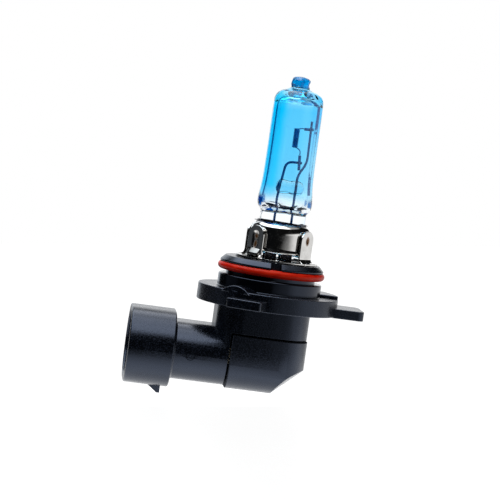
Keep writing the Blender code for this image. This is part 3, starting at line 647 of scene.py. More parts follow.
# Middle, half width, rise and colour of the drops where the coating ran onto the pinch
COATING_DROPS = (
    (-2.2, 0.95, 0.62, (0.0, 0.012, 0.22)),
    (0.55, 1.1, 0.36, (0.0, 0.015, 0.25)),
    (4.0, 0.75, 0.34, (0.0, 0.16, 0.50)),
)
PINCH_SHOULDER = 16.92
# Where the two posts show through the painted dark reflection above the pinch
POSTS_X = (-0.9, 2.54)


def coating_colour(nodes, x, z, cloud):
    """The coating: deep blue at the left, paler at the right, fading to clear above the pinch."""
    wavy = z + (cloud - 0.5) * 1.5
    height = (wavy - 14) / 30.0

    def fading(below, high, dome):
        """The colour up the capsule: clear, then through the stops below to high, the dome and the tip."""
        clear = ((0.12, (0.96, 0.985, 1.0)), (0.15, (0.80, 0.93, 1.0)))
        tip = (0.925, (0.0, 0.33, 0.78))
        return nodes.ramp(height, *clear, *below, (0.76, high), (0.83, dome), (0.89, dome), tip)

    left = fading(
        ((0.18, (0.40, 0.76, 1.0)), (0.215, (0.16, 0.67, 1.0)), (0.27, (0.03, 0.60, 1.0))),
        (0.0, 0.56, 1.0),
        (0.03, 0.62, 1.0),
    )
    middle = fading(
        ((0.18, (0.58, 0.84, 1.0)), (0.215, (0.34, 0.75, 1.0)), (0.27, (0.15, 0.65, 1.0))),
        (0.10, 0.62, 1.0),
        (0.24, 0.70, 1.0),
    )
    right = fading(
        (
            (0.18, (0.52, 0.82, 1.0)),
            (0.215, (0.36, 0.76, 1.0)),
            (0.30, (0.22, 0.68, 1.0)),
            (0.45, (0.22, 0.68, 1.0)),
        ),
        (0.02, 0.52, 1.0),
        (0.08, 0.60, 1.0),
    )
    across = x + (cloud - 0.5) * 1.5
    return nodes.mix(across.rise(3.0, 4.7), nodes.mix(across.rise(-2.6, -0.6), left, middle), right)


def blue_glass():
    """The coated outside of the capsule. Each pass through the skin takes the root of the colour.

    Its sides are painted dark as shade just above the pinch, drops of the coating lie along the pinch's
    shoulder at the front, and above them a dark ragged band is painted as the reflection of the dark cup and
    pinch. The melted tip is lumpy.
    """
    made, nodes, shader = new_material("blue_glass", **GLASS)
    place = nodes.place_mm()
    x, y, z = nodes.axes(place)
    colour = coating_colour(nodes, x, z, nodes.noise(place, 6, detail=3))
    # Painted shade: the sides just above the pinch are painted deep blue, for the dark they show where the
    # glass is seen edge on.
    offset = x - CAPSULE_X / MM
    side = offset.fall(-4.8, -4.5).larger(offset.rise(4.9, 5.05))
    colour = nodes.mix(side * z.rise(17.3, 17.9) * z.fall(19.1, 20.2), colour, (0.0, 0.03, 0.24))

    front = y.fall(-0.6, -0.2)
    ragged_z = z + (nodes.noise(place, 0.8, detail=3) - 0.5) * 0.5
    for middle, half, rise, blue in COATING_DROPS:
        from_middle = (x - middle) / half
        above = ragged_z - PINCH_SHOULDER - (1 - from_middle * from_middle) * rise
        drop = above.fall(-0.06, 0.02) * front * z.rise(PINCH_SHOULDER - 0.1, PINCH_SHOULDER)
        colour = nodes.mix(drop, colour, blue)
    # Painted reflection: a dark ragged band above the drops stands in for the dark cup and pinch mirrored in
    # the front.
    above = ragged_z - (offset * offset * 0.036 + 17.62)
    painted_dark_reflection = above.rise(-0.04, 0.04) * ragged_z.fall(18.4, 18.48) * front * abs(offset).fall(3.95, 4.1)
    for post_x in POSTS_X:
        painted_dark_reflection = painted_dark_reflection * abs(x - post_x).rise(0.2, 0.3)
    colour = nodes.mix(painted_dark_reflection, colour, (0.0002, 0.0006, 0.0015))

    lumps = nodes.noise(place, 0.7, detail=3)
    colour = nodes.mix(lumps.rise(0.46, 0.60) * z.rise(40.8, 41.2), colour, (0.0, 0.13, 0.40))
    height = nodes.noise(place, 2.5) * 0.1 + lumps * z.rise(40.6, 41.4)
    set_inputs(nodes, shader, Base_Color=colour, Normal=nodes.bump(height, 0.10))
    return made


def inner_glass():
    """The capsule's bare inner wall: painted shade where seen edge on, a painted dark reflection low at the
    front, and blue streaks on its dome.
    """
    made, nodes, shader = new_material("inner_glass", **GLASS)
    place = nodes.place_mm()
    x, y, z = nodes.axes(place)
    facing = Number(nodes, nodes.add("ShaderNodeLayerWeight", Blend=0.5).outputs["Facing"])
    colour = nodes.mix(nodes.noise(place, 1.2), (0.96, 0.99, 1.0), (1.0, 1.0, 1.0))
    # Painted shade: navy where the wall is seen edge on, for the dark line that refraction draws there.
    colour = nodes.mix(facing.rise(0.72, 0.95), colour, (0.0, 0.10, 0.50))
    # Painted reflection: a dark ragged band low on the front of the wall, for the dark cup and pinch seen in
    # it.
    edge = z + (nodes.noise(place, 0.8, detail=4, roughness=0.7) - 0.5) * 0.7
    painted_inner_reflection = edge.rise(18.05, 18.15) * edge.fall(18.25, 18.35) * y.fall(-1.2, -0.8)
    colour = nodes.mix(painted_inner_reflection, colour, (0.004, 0.012, 0.035))
    strokes = nodes.noise(nodes.vector("MULTIPLY", place, (0.8, 0.8, 2.4)), 1.5, detail=3)
    colour = nodes.mix(strokes.rise(0.53, 0.60) * z.rise(38.5, 38.8), colour, (0.0, 0.20, 0.66))
    set_inputs(nodes, shader, Base_Color=colour, Normal=nodes.bump(nodes.noise(place, 1.1), 0.004))
    return made


def clear_glass():
    """Plain glass with the faint waves of hand-worked glass."""
    made, nodes, shader = new_material("clear_glass", **GLASS)
    place = nodes.place_mm()
    tint = nodes.mix(nodes.noise(place, 1.2), (0.92, 0.97, 1.0), (1.0, 1.0, 1.0))
    set_inputs(nodes, shader, Base_Color=tint, Normal=nodes.bump(nodes.noise(place, 1.1), 0.01))
    return made


def sealant():
    """Cast resin, mottled and slightly glossy."""
    light, dark, rough = (0.42, 0.38, 0.30), (0.55, 0.52, 0.44), (0.35, 0.6)
    return mottled("sealant", (0.8, 5), light, dark, rough, (0.8, 5, 0.05), Specular_IOR_Level=0.4)


# ---- Mesh helpers ----


def bearing_point(radius, bearing, z=0.0, centre_x=0.0):
    """The point at this radius and bearing round an upright axis through centre_x."""
    angle = radians(bearing)
    return Vector((centre_x + radius * sin(angle), -radius * cos(angle), z))


def filleted(corners, steps=4):
    """A line of (u, v, radius) corners as (u, v) points, each corner rounded by about that radius."""
    points = [corners[0][:2]]
    for before, corner, after in zip(corners, corners[1:], corners[2:]):
        middle, radius = Vector(corner[:2]), corner[2]
        back, ahead = Vector(before[:2]) - middle, Vector(after[:2]) - middle
        if radius <= 0:
            points.append(tuple(middle))
            continue
        half_angle = back.angle(ahead) / 2
        reach = min(radius / tan(half_angle), back.length * 0.48, ahead.length * 0.48)
        start, end = middle + back.normalized() * reach, middle + ahead.normalized() * reach
        weight = sin(half_angle)
        for i in range(steps + 1):
            t = i / steps
            shares = ((1 - t) ** 2, 2 * t * (1 - t) * weight, t * t)
            mixed = start * shares[0] + middle * shares[1] + end * shares[2]
            points.append(tuple(mixed / sum(shares)))
    points.append(corners[-1][:2])
    return points


def smooth_line(points, steps=6):
    """A smooth curve through the points, by Catmull and Rom's rule."""
    line = [Vector(point) for point in points]
    line = [line[0] * 2 - line[1], *line, line[-1] * 2 - line[-2]]
    found = []
    for a, b, c, d in zip(line, line[1:], line[2:], line[3:]):
        for i in range(steps):
            t = i / steps
            bend, twist = 2 * a - 5 * b + 4 * c - d, 3 * b - a - 3 * c + d
            found.append(0.5 * (2 * b + (c - a) * t + bend * t * t + twist * t**3))
    found.append(line[-2])
    return found


def rounded_rectangle(half_u, half_v, radius, steps=ARC_STEPS):
    """A closed outline with round corners, centred on zero."""
    outline = []
    for start, (side_u, side_v) in zip((0, 90, 180, 270), ((1, 1), (-1, 1), (-1, -1), (1, -1))):
        for angle in arc(start, start + 90, steps):
            u = side_u * (half_u - radius) + radius * cos(angle)
            v = side_v * (half_v - radius) + radius * sin(angle)
            outline.append((u, v))
    return outline


def arc(start, end, steps):
    """Evenly spaced angles between two angles in degrees, both included."""
    return [radians(start + (end - start) * i / steps) for i in range(steps + 1)]


def share_of(value):
    """The value, held between 0 and 1."""
    return min(max(value, 0), 1)


def circle(radius, facets=FACETS):
    """A closed round outline."""
    angles = [2 * pi * i / facets for i in range(facets)]
    return [(radius * cos(angle), radius * sin(angle)) for angle in angles]


def clean(shape):
    """Joins points that meet and removes what they leave flat."""
    bmesh.ops.remove_doubles(shape, verts=shape.verts, dist=MERGE)
    bmesh.ops.dissolve_degenerate(shape, edges=shape.edges, dist=MERGE)


def skin(loops, ring=False):
    """A closed bmesh whose faces join each loop of points to the next. A ring also joins last to first."""
    shape = bmesh.new()
    rows = [[shape.verts.new(point) for point in loop] for loop in loops]
    pairs = list(zip(rows, rows[1:]))
    if ring:
        pairs.append((rows[-1], rows[0]))
    for row, after in pairs:
        for i in range(len(row)):
            j = (i + 1) % len(row)
            shape.faces.new((row[i], row[j], after[j], after[i]))
    if not ring:
        shape.faces.new(reversed(rows[0]))
        shape.faces.new(rows[-1])
    clean(shape)
    bmesh.ops.recalc_face_normals(shape, faces=shape.faces)
    return shape


def turned(profile, centre_x=0.0, ring=False, facets=FACETS):
    """A (radius, z) profile turned about an upright axis."""
    loops = [[(centre_x + x, y, z) for x, y in circle(max(radius, 0), facets)] for radius, z in profile]
    return skin(loops, ring)


def rod(radius, low, high):
    """The profile of a plain rod or bore."""
    return [(0, low), (radius, low), (radius, high), (0, high)]


def rim_profile(low, high, edge, steps=4):
    """(place, inset) pairs along a prism whose two rims are rounded."""
    rise = [(edge * (1 - cos(angle)), edge * (1 - sin(angle))) for angle in arc(0, 90, steps)]
    pairs = [(low + along, inset) for along, inset in rise]
    return pairs + [(high - along, inset) for along, inset in reversed(rise)]


def upright_bar(low, high, corner, edge, steps=ARC_STEPS):
    """A block with round upright corners and rounded rims."""
    half_x, half_y = (high[0] - low[0]) / 2, (high[1] - low[1]) / 2
    middle_x, middle_y = (high[0] + low[0]) / 2, (high[1] + low[1]) / 2
    loops = []
    for z, inset in rim_profile(low[2], high[2], edge):
        outline = rounded_rectangle(half_x - inset, half_y - inset, max(corner - inset, 0.02 * MM), steps)
        loops.append([(middle_x + x, middle_y + y, z) for x, y in outline])
    return skin(loops)


def lying_oval(pairs, width, height, middle_z):
    """An oval bar along X. pairs are (x, inset) from one end to the other."""
    loops = []
    for x, inset in pairs:
        half_width, half_height = width / 2 - inset, height / 2 - inset
        outline = rounded_rectangle(half_width, half_height, min(half_width, half_height) * 0.998)
        loops.append([(x, y, middle_z + z) for y, z in outline])
    return skin(loops)


def solid(name, shape, move=None):
    """A linked object from a bmesh, which is freed."""
    data = bpy.data.meshes.new(name)
    shape.to_mesh(data)
    shape.free()
    if move is not None:
        data.transform(move)
    made = bpy.data.objects.new(name, data)
    bpy.context.scene.collection.objects.link(made)
    return made


def stood_at(bearing, centre_x=0.0):
    """The move that turns something made at the front to a bearing."""
    return Matrix.Translation((centre_x, 0, 0)) @ Matrix.Rotation(radians(bearing), 4, "Z")


def turned_to(bearing, shape):
    """The bmesh, moved from the front of the capsule's axis to a bearing round it."""
    bmesh.ops.transform(shape, matrix=stood_at(bearing, CAPSULE_X), verts=shape.verts)
    return shape


def settle(made):
    """Applies the object's modifiers to its mesh."""
    graph = bpy.context.evaluated_depsgraph_get()
    data = bpy.data.meshes.new_from_object(made.evaluated_get(graph), depsgraph=graph)
    made.modifiers.clear()
    old, made.data = made.data, data
    bpy.data.meshes.remove(old)
    return made


def combine(target, operation, *tools):
    """Joins, cuts or intersects target with the tools, which are used up."""
    for tool in tools:
        modifier = target.modifiers.new(operation, "BOOLEAN")
        modifier.operation = operation
        modifier.object = tool
        modifier.solver = "EXACT"
    settle(target)
    for tool in tools:
        bpy.data.objects.remove(tool, do_unlink=True)
    return target


def merged(name, *shapes):
    """One object that holds several separate closed bodies."""
    whole = bmesh.new()
    for shape in shapes:
        data = bpy.data.meshes.new("part of " + name)
        shape.to_mesh(data)
        shape.free()
        whole.from_mesh(data)
        bpy.data.meshes.remove(data)
    return solid(name, whole)


def finish_piece(made, material, slot, *nodes, sharp=32):
    """Cleans and shades a piece, gives it its finish and ties it to the frame."""
    shape = bmesh.new()
    shape.from_mesh(made.data)
    clean(shape)
    shape.to_mesh(made.data)
    shape.free()
    made.data.shade_smooth()
    made.data.set_sharp_from_angle(angle=radians(sharp))
    weighted = made.modifiers.new("normals", "WEIGHTED_NORMAL")
    weighted.keep_sharp = True
    settle(made)
    if not made.data.materials:
        made.data.materials.append(material)
    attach(made, "root")
    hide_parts(*nodes)
    return made


def round_wire(points, radius, centre_x=0.0, sides=14):
    """A closed round bar along the points, as a bmesh. Each section is turned as little as it can be."""
    line = [Vector((x + centre_x, y, z)) for x, y, z in points]
    loops = []
    across = None
    for i, point in enumerate(line):
        ahead = (line[min(i + 1, len(line) - 1)] - line[max(i - 1, 0)]).normalized()
        if across is None:
            across = ahead.orthogonal().normalized()
        across = (across - ahead * across.dot(ahead)).normalized()
        beside = ahead.cross(across)
        loops.append(
            [
                point + (across * cos(angle) + beside * sin(angle)) * radius
                for angle in (2 * pi * j / sides for j in range(sides))
            ]
        )
    return skin(loops)


# ---- Base moulding ----


def base_turning():
    """Disc, groove, pilot and flange."""
    profile = filleted(
        [
            (0, DISC_TOP, 0),
            (DISC_RADIUS - DISC_CHAMFER, DISC_TOP, 0.15 * MM),
            (DISC_RADIUS, DISC_TOP - DISC_CHAMFER, 0.25 * MM),
            (DISC_RADIUS - 0.02 * MM, DISC_BOTTOM, 0.06 * MM),
            (GROOVE_RADIUS, DISC_BOTTOM, 0.1 * MM),
            (GROOVE_RADIUS, PILOT_TOP, 0.1 * MM),
            (PILOT_RADIUS, PILOT_TOP, 0.25 * MM),
            (PILOT_RADIUS, FLANGE_TOP, 0.15 * MM),
            (FLANGE_RADIUS, FLANGE_TOP, 0.16 * MM),
            (FLANGE_RADIUS, FLANGE_BOTTOM, 0.16 * MM),
            (0, FLANGE_BOTTOM, 0),
        ]
    )
    return solid("housing_moulding", turned(profile))


def lug(bearing, width, end, bottom, top, corner):
    """One flat tongue that stands out of the flange, with soft edges."""
    shape = upright_bar((-width / 2, -end, bottom), (width / 2, -PILOT_RADIUS, top), corner, EDGE, steps=6)
    return solid(f"lug {bearing}", shape, stood_at(bearing))


def hump():
    """A low round-topped rib that runs radially across the flange."""
    centre_z = FLANGE_TOP + HUMP_RISE - HUMP_RADIUS
    loops = []
    for y, inset in rim_profile(-FLANGE_RADIUS + 0.04 * MM, -PILOT_RADIUS + 0.5 * MM, 0.15 * MM):
        radius = HUMP_RADIUS - inset
        half = acos((FLANGE_TOP - 0.4 * MM - centre_z) / radius)
        angles = [half - 2 * half * i / 24 for i in range(25)]
        loops.append([(radius * sin(angle), y, centre_z + radius * cos(angle)) for angle in angles])
    return solid("hump", skin(loops), stood_at(HUMP_BEARING))


def raised_step():
    """A slightly raised sector of the flange behind the side lug."""
    start, end = STEP_BEARINGS
    soft_end, edge, steps = 0.6, 0.12 * MM, 24
    places = [(start + soft_end + (end - start - 2 * soft_end) * i / steps, 0) for i in range(steps + 1)]
    loops = []
    for bearing, inset in [(start, edge), *places, (end, edge)]:
        inner, outer = PILOT_RADIUS - 0.5 * MM, FLANGE_RADIUS - 0.02 * MM - inset
        low, high = 0, FLANGE_TOP + STEP_RISE - inset
        outline = filleted(
            [(inner, low, 0), (outer, low, 0), (outer, high, 0.2 * MM), (inner, high, 0), (inner, low, 0)]
        )[:-1]
        loops.append([bearing_point(radius, bearing, z) for radius, z in outline])
    return solid("raised step", skin(loops))


def body_block():
    """The rounded-square body, flared a little where it meets the flange."""
    flare = 0.3 * MM
    loops = []
    half_x, half_y = (BODY_RIGHT - BODY_LEFT) / 2, BODY_WIDTH / 2
    middle_x = (BODY_RIGHT + BODY_LEFT) / 2
    pairs = [(ARM_MIDDLE_Z, 0), (FLANGE_BOTTOM - flare, 0)]
    pairs += [(FLANGE_BOTTOM - flare * cos(angle), -flare * (1 - cos(angle))) for angle in arc(0, 90, 4)[1:]]
    pairs.append((FLANGE_BOTTOM + 0.5 * MM, -flare))
    for z, inset in pairs:
        outline = rounded_rectangle(half_x - inset, half_y - inset, BODY_CORNER - inset)
        loops.append([(middle_x + x, y, z) for x, y in outline])
    return solid("body", skin(loops))


def arm_bar():
    """The oval arm, flared where it meets the socket."""
    flare = 0.35 * MM
    pairs = [(SOCKET_BACK_X - 0.3 * MM, -flare)]
    pairs += [(SOCKET_BACK_X + flare * sin(angle), -flare * (1 - sin(angle))) for angle in arc(0, 90, 4)]
    pairs.append((0, 0))
    return solid("arm", lying_oval(pairs, ARM_WIDTH, ARM_HEIGHT, ARM_MIDDLE_Z))


def socket_shell():
    """The oval collar, from its back face over the lip to its floor, all in one skin."""
    lip = 0.35 * MM
    corners = filleted(
        [
            (SOCKET_BACK_X, 2 * MM, 0),
            (SOCKET_BACK_X, 0, 0.3 * MM),
            (SOCKET_MOUTH_X, 0, lip),
            (SOCKET_MOUTH_X, SOCKET_WALL, lip),
            (SOCKET_FLOOR_X, SOCKET_WALL, 0.3 * MM),
            (SOCKET_FLOOR_X, SOCKET_WALL + 1 * MM, 0),
        ],
        steps=5,
    )
    return solid("socket", lying_oval(corners, SOCKET_WIDTH, SOCKET_HEIGHT, ARM_MIDDLE_Z))


def latch():
    """The ramp under the socket that the plug's latch snaps over."""
    top = ARM_MIDDLE_Z - SOCKET_HEIGHT / 2
    start, deepest, end = LATCH_X
    outline = filleted(
        [
            (end, top + 0.4 * MM, 0),
            (start, top + 0.4 * MM, 0),
            (start, top - 0.05 * MM, 0.03 * MM),
            (deepest, LATCH_BOTTOM, 0.15 * MM),
            (end, LATCH_BOTTOM, 0.12 * MM),
            (end, top + 0.4 * MM, 0),
        ]
    )[:-1]
    half = LATCH_WIDTH / 2
    loops = [[(x, side, z) for x, z in outline] for side in (-half, half)]
    return solid("latch", skin(loops))


def block(name, low, high, edge=0.0, bearing=None):
    """A box between two corners, with softened edges if asked."""
    shape = bmesh.new()
    size, middle = Vector(high) - Vector(low), (Vector(high) + Vector(low)) / 2
    bmesh.ops.create_cube(shape, size=1, matrix=Matrix.Translation(middle) @ Matrix.Diagonal((*size, 1)))
    if edge > 0:
        bmesh.ops.bevel(shape, geom=shape.edges[:], offset=edge, segments=3, profile=0.5, affect="EDGES")
    return solid(name, shape, None if bearing is None else stood_at(bearing))


def ejector_ring(x, z, surface_y, radius, depth):
    """A thin ring that cuts an ejector pin's witness mark into a front face."""
    wide, thin = radius, radius - 0.13 * MM
    profile = [(wide, -0.5 * MM), (wide, depth), (thin, depth), (thin, -0.5 * MM)]
    shape = turned(profile, ring=True, facets=40)
    move = Matrix.Translation((x, surface_y, z)) @ Matrix.Rotation(radians(-90), 4, "X")
    return solid("ejector ring", shape, move)


def stake(bearing):
    """One staked post with its flattened oval head."""
    post_radius = 0.35 * MM
    base_z = LEGS_LOW.z + SHEET
    spot = bearing_point(STAKE_DISTANCE, 0)
    post = turned(rod(post_radius, DISC_TOP - 0.5 * MM, base_z + 0.2 * MM), facets=16)
    bmesh.ops.translate(post, verts=post.verts, vec=spot)
    corners = [(0, 0, 0), (1, 0, 0.1), (0.9, 0.55, 0.35), (0.35, 0.95, 0.4), (0, 1, 0)]
    head = turned(filleted(corners, steps=6), facets=32)
    bmesh.ops.scale(head, verts=head.verts, vec=STAKE_HEAD)
    bmesh.ops.translate(head, verts=head.verts, vec=spot + Vector((0, 0, base_z + 0.08 * MM)))
    made = merged(f"stake {bearing}", post, head)
    made.data.transform(stood_at(bearing, CAPSULE_X))
    return made


def housing_moulding(material):
    """The one-piece base moulding."""
    housing = base_turning()
    combine(housing, "UNION", body_block(), arm_bar(), socket_shell(), latch())
    combine(housing, "UNION", *[lug(*sizes) for sizes in LUGS], hump(), raised_step())
    pocket = block("pocket", (SEAM_X - SEAM_SHADOW, -FAR, -1.5 * FAR), (FAR, FAR, SEAM_Z + SEAM_SHADOW))
    bore = solid("bore", turned(rod(NECK_BORE_RADIUS, SEAM_Z - 1 * MM, DISC_TOP + 1 * MM), facets=96))
    notch = block(
        "notch",
        (-NOTCH_WIDTH / 2, -DISC_RADIUS - 1 * MM, DISC_BOTTOM - 0.2 * MM),
        (NOTCH_WIDTH / 2, -DISC_RADIUS + NOTCH_DEPTH, DISC_TOP + 1 * MM),
        0.1 * MM,
        NOTCH_BEARING,
    )
    combine(housing, "DIFFERENCE", pocket)
    side_right, top_foot = COVER_LOW.x - LIP_CLEARANCE, COVER_HIGH.z + LIP_CLEARANCE
    # The side lip's and the top lip's foot, right end and upper face
    lips = [
        block("lip", (SEAM_X - LIP_REACH, -LIP_HALF_DEPTH, foot), (right, LIP_HALF_DEPTH, top))
        for foot, right, top in ((LIP_FOOT, side_right, SEAM_Z), (top_foot, LIP_END, SEAM_Z + LIP_REACH))
    ]
    combine(housing, "UNION", *lips)
    combine(housing, "DIFFERENCE", bore, notch)
    slots = [
        block(
            f"slot {side}",
            (SOCKET_FLOOR_X - 1 * MM, side * TERMINAL_Y - SLOT_HALF_WIDTH, ARM_MIDDLE_Z - SLOT_HALF_HEIGHT),
            (SEAM_X + 1 * MM, side * TERMINAL_Y + SLOT_HALF_WIDTH, ARM_MIDDLE_Z + SLOT_HALF_HEIGHT),
        )
        for side in (-1, 1)
    ]
    combine(housing, "DIFFERENCE", *slots, *[ejector_ring(*mark) for mark in EJECTOR_MARKS])
    inner_floor = ARM_MIDDLE_Z - SOCKET_HEIGHT / 2 + SOCKET_WALL
    ribs = [
        block(
            f"rib {side}",
            (SOCKET_MOUTH_X + 1.2 * MM, side * KEY_RIB_Y - KEY_RIB / 2, inner_floor - 0.2 * MM),
            (SOCKET_FLOOR_X + 0.3 * MM, side * KEY_RIB_Y + KEY_RIB / 2, inner_floor + KEY_RIB_RISE),
            0.15 * MM,
        )
        for side in (-1, 1)
    ]
    combine(housing, "UNION", *ribs)
    combine(housing, "UNION", *[stake(bearing) for bearing in LEG_BEARINGS])
    return finish_piece(housing, material, "black_nylon", "base_housing")


def cover_form(name, inset, left, top):
    """The outer corner of the elbow, rounded underneath. inset shrinks it."""
    half = BODY_WIDTH / 2 + COVER_PROUD - inset
    right = BODY_RIGHT + COVER_PROUD - inset
    bottom = COVER_BOTTOM + inset
    corner = BODY_CORNER + COVER_PROUD - inset
    reach = 12 * MM
    column = upright_bar((left - reach, -half, bottom - 1 * MM), (right, half, top), corner, 0.0, steps=24)
    made = solid(name, column)
    combine(made, "DIFFERENCE", block("left cut", (left - 2 * reach, -FAR, -1.5 * FAR), (left, FAR, FAR)))
    under = long_round_bar(half + 0.01 * MM, COVER_EDGE_RADIUS - inset)
    under.data.transform(Matrix.Translation((0, 0, bottom)))
    slant = crowned_bar(half + 0.02 * MM)
    run, rise = BODY_RIGHT + COVER_PROUD - CHAMFER_END_X, CHAMFER_TOP_Z - COVER_BOTTOM
    slant.data.transform(
        Matrix.Translation((CHAMFER_END_X, 0, COVER_BOTTOM))
        @ Matrix.Rotation(-atan2(rise, run), 4, "Y")
        @ Matrix.Translation((0, 0, inset - CHAMFER_PROUD))
    )
    return combine(made, "INTERSECT", under, slant)


def crowned_bar(half_width):
    """A long bar along X whose underside, at z = 0 in the middle, curves up a little to two crisp edges."""
    radius = CHAMFER_CROWN_RADIUS
    edge_angle = asin(half_width / radius)
    angles = [edge_angle * (i / 20 - 1) for i in range(41)]
    underside = [(radius * sin(angle), radius * (1 - cos(angle))) for angle in angles]
    return long_bar("crowned bar", half_width, underside)


def long_round_bar(half_width, radius):
    """A long bar along X whose two lower edges are rounded and whose underside is at z = 0."""
    outline = []
    for side, start in ((-1, 180), (1, 270)):
        middle, angles = side * (half_width - radius), arc(start, start + 90, 24)
        outline += [(middle + radius * cos(angle), radius + radius * sin(angle)) for angle in angles]
    return long_bar("round bar", half_width, outline)


def long_bar(name, half_width, underside):
    """A long bar along X with this underside, open to well above the object."""
    outline = [*underside, (half_width, 2 * FAR), (-half_width, 2 * FAR)]
    return solid(name, skin([[(x, y, z) for y, z in outline] for x in (-2 * FAR, 2 * FAR)]))


def cover_moulding(material):
    """The cap that closes the elbow."""
    left, top = SEAM_X + SEAM_GAP, COVER_HIGH.z
    cover = cover_form("cover_moulding", 0, left, top)
    hollow = cover_form("hollow", COVER_WALL, left - 5 * MM, top + 5 * MM)
    combine(cover, "DIFFERENCE", hollow)
    return finish_piece(cover, material, "black_nylon", "elbow_cover")


def red_o_ring(material):
    """The silicone ring in the groove."""
    section = (RING_HIGH.z - RING_LOW.z) / 2
    middle_z = (RING_HIGH.z + RING_LOW.z) / 2
    radius = RING_HIGH.x - section
    profile = [(radius + u, middle_z + v) for u, v in circle(section, 36)]
    return finish_piece(solid("red_o_ring", turned(profile, ring=True)), material, "red_rubber", "o_ring")


# ---- Glass ----


def glass_loop(half_x, half_y, z, roundness):
    """A loop of the capsule between a circle, at roundness 1, and a rounded slab, at roundness 0."""
    points = []
    for i in range(FACETS):
        angle = 2 * pi * i / FACETS
        direction = Vector((cos(angle), sin(angle)))
        power = 2 + 8 * (1 - roundness)
        length = (abs(direction.x) ** power + abs(direction.y) ** power) ** (-1 / power)
        points.append((CAPSULE_X + half_x * direction.x * length, half_y * direction.y * length, z))
    return points


def tip_wobble(points, amount, lean):
    """A loop near the melted tip, pushed about and leaning a little to the left."""
    moved = []
    for point in points:
        place = Vector(point)
        outward = Vector((place.x - CAPSULE_X, place.y, 0))
        push = amount * noise.noise(place / (0.9 * MM)) if outward.length > 0.05 * MM else 0.0
        moved.append(place + outward.normalized() * push - Vector((lean, 0, 0)))
    return moved


def dome_wobble(shape):
    """Pushes the hollow's dome about, as melted glass is left."""
    centre = Vector((CAPSULE_X, 0, DOME_CENTRE_Z))
    for vertex in shape.verts:
        share = share_of((vertex.co.z - DOME_LOW_Z) / DOME_START)
        if share > 0:
            outward = (vertex.co - centre).normalized()
            vertex.co += outward * (DOME_PUSH * share * noise.noise(vertex.co / DOME_RIPPLE))


# Half width, half depth and height of the hollow, which ends at the pinch, in millimetres
HOLLOW_SECTIONS = (
    (0.0, 0.0, 39.4),
    (1.5, 1.5, 39.38),
    (2.6, 2.6, 39.25),
    (3.4, 3.4, 38.85),
    (3.8, 3.8, 38.1),
    (3.9, 3.9, 37),
    (3.92, 3.92, 28),
    (4.05, 4.05, 23),
    (4.3, 4.3, 20.6),
    (4.35, 4.3, 19.3),
    (4.25, 4.0, 18.45),
    (3.95, 3.3, 17.8),
    (3.5, 2.3, 17.4),
    (2.6, 1.3, 17.15),
    (1.3, 0.5, 17.03),
    (0.0, 0.0, 17.0),
)


def outer_sections():
    """Half width, half depth, height and roundness of the outside, from the tip down."""
    # Half width and distance below the top of the tip and the dome, in millimetres
    dome = ((0, 0), (0.75, 0.06), (1.35, 0.28), (1.72, 0.7), (1.80, 1.3), (1.74, 1.9))
    dome += ((1.86, 2.3), (2.6, 2.62), (3.5, 2.95), (4.3, 3.5), (4.7, 4.3), (4.8, 5.4))
    sections = [(half * MM, half * MM, GLASS_HIGH.z - below * MM, 1) for half, below in dome]
    # Half width, half depth, height and roundness of the body and the pinch, in millimetres
    body = (
        (4.82, 4.82, 33, 1),
        (4.85, 4.85, 28, 1),
        (4.95, 4.95, 23, 1),
        (5.2, 5.2, 20.4, 1),
        (5.33, 5.3, 19.1, 1),
        (5.24, 5.0, 18.25, 0.97),
        (4.95, 4.2, 17.65, 0.85),
        (4.6, 3.1, 17.25, 0.6),
        (4.38, 2.25, 16.95, 0.25),
        (4.33, 1.92, 16.6, 0.05),
        (4.33, 1.9, 14.5, 0),
    )
    sections += [(half_x * MM, half_y * MM, z * MM, roundness) for half_x, half_y, z, roundness in body]
    foot = GLASS_LOW.z
    return sections + [(4.33 * MM, 1.9 * MM, foot + 0.3 * MM, 0), (4.2 * MM, 1.75 * MM, foot, 0)]


def glass_capsule(coating, inside):
    """The blown capsule with its pinch, coated outside, and the hollow in it."""
    top = GLASS_HIGH.z
    loops = []
    line = smooth_line([Vector(section) for section in outer_sections()], steps=4)
    for half_x, half_y, z, roundness in line:
        loop = glass_loop(max(half_x, 0), max(half_y, 0), z, share_of(roundness))
        share = share_of((z - (top - TIP_HEIGHT)) / TIP_START)
        if share > 0:
            loop = tip_wobble(loop, TIP_PUSH * share, TIP_LEAN * share)
        loops.append(loop)
    outside = skin(loops)
    line = smooth_line([Vector(section) * MM for section in HOLLOW_SECTIONS], steps=5)
    hollow = skin([glass_loop(max(half_x, 0), max(half_y, 0), z, 1) for half_x, half_y, z in line])
    dome_wobble(hollow)
    bmesh.ops.reverse_faces(hollow, faces=hollow.faces)
    for face in hollow.faces:
        face.material_index = 1
    made = merged("glass_capsule", outside, hollow)
    made.data.materials.append(coating)
    made.data.materials.append(inside)
    return finish_piece(made, coating, "blue_glass", "glass_envelope", sharp=60)


def bridge_bead(material):
    """The melted glass bead that holds the two posts apart."""
    middle_z = (BRIDGE_LOW.z + BRIDGE_HIGH.z) / 2
    half_z = (BRIDGE_HIGH.z - BRIDGE_LOW.z) / 2
    half_y = BRIDGE_HIGH.y
    left, right = BRIDGE_LOW.x, BRIDGE_HIGH.x
    length = right - left
    # Share of the length from the left end, and share of the full thickness
    sections = [(0, 0), (0.015, 0.4), (0.06, 0.75), (0.14, 0.95), (0.26, 1.0), (0.45, 0.9)]
    sections += [(0.62, 0.97), (0.76, 1.0), (0.88, 0.9), (0.95, 0.7), (0.985, 0.4), (1, 0)]
    loops = []
    for along, size in smooth_line([Vector(section) for section in sections], steps=5):
        x, size = left + length * along, max(size, 0)
        loops.append([(x, half_y * size * u, middle_z + half_z * size * v) for u, v in circle(1, 40)])
    return finish_piece(solid("bridge_bead", skin(loops)), material, "clear_glass", "glass_bridge", sharp=60)


# ---- Filament mount ----


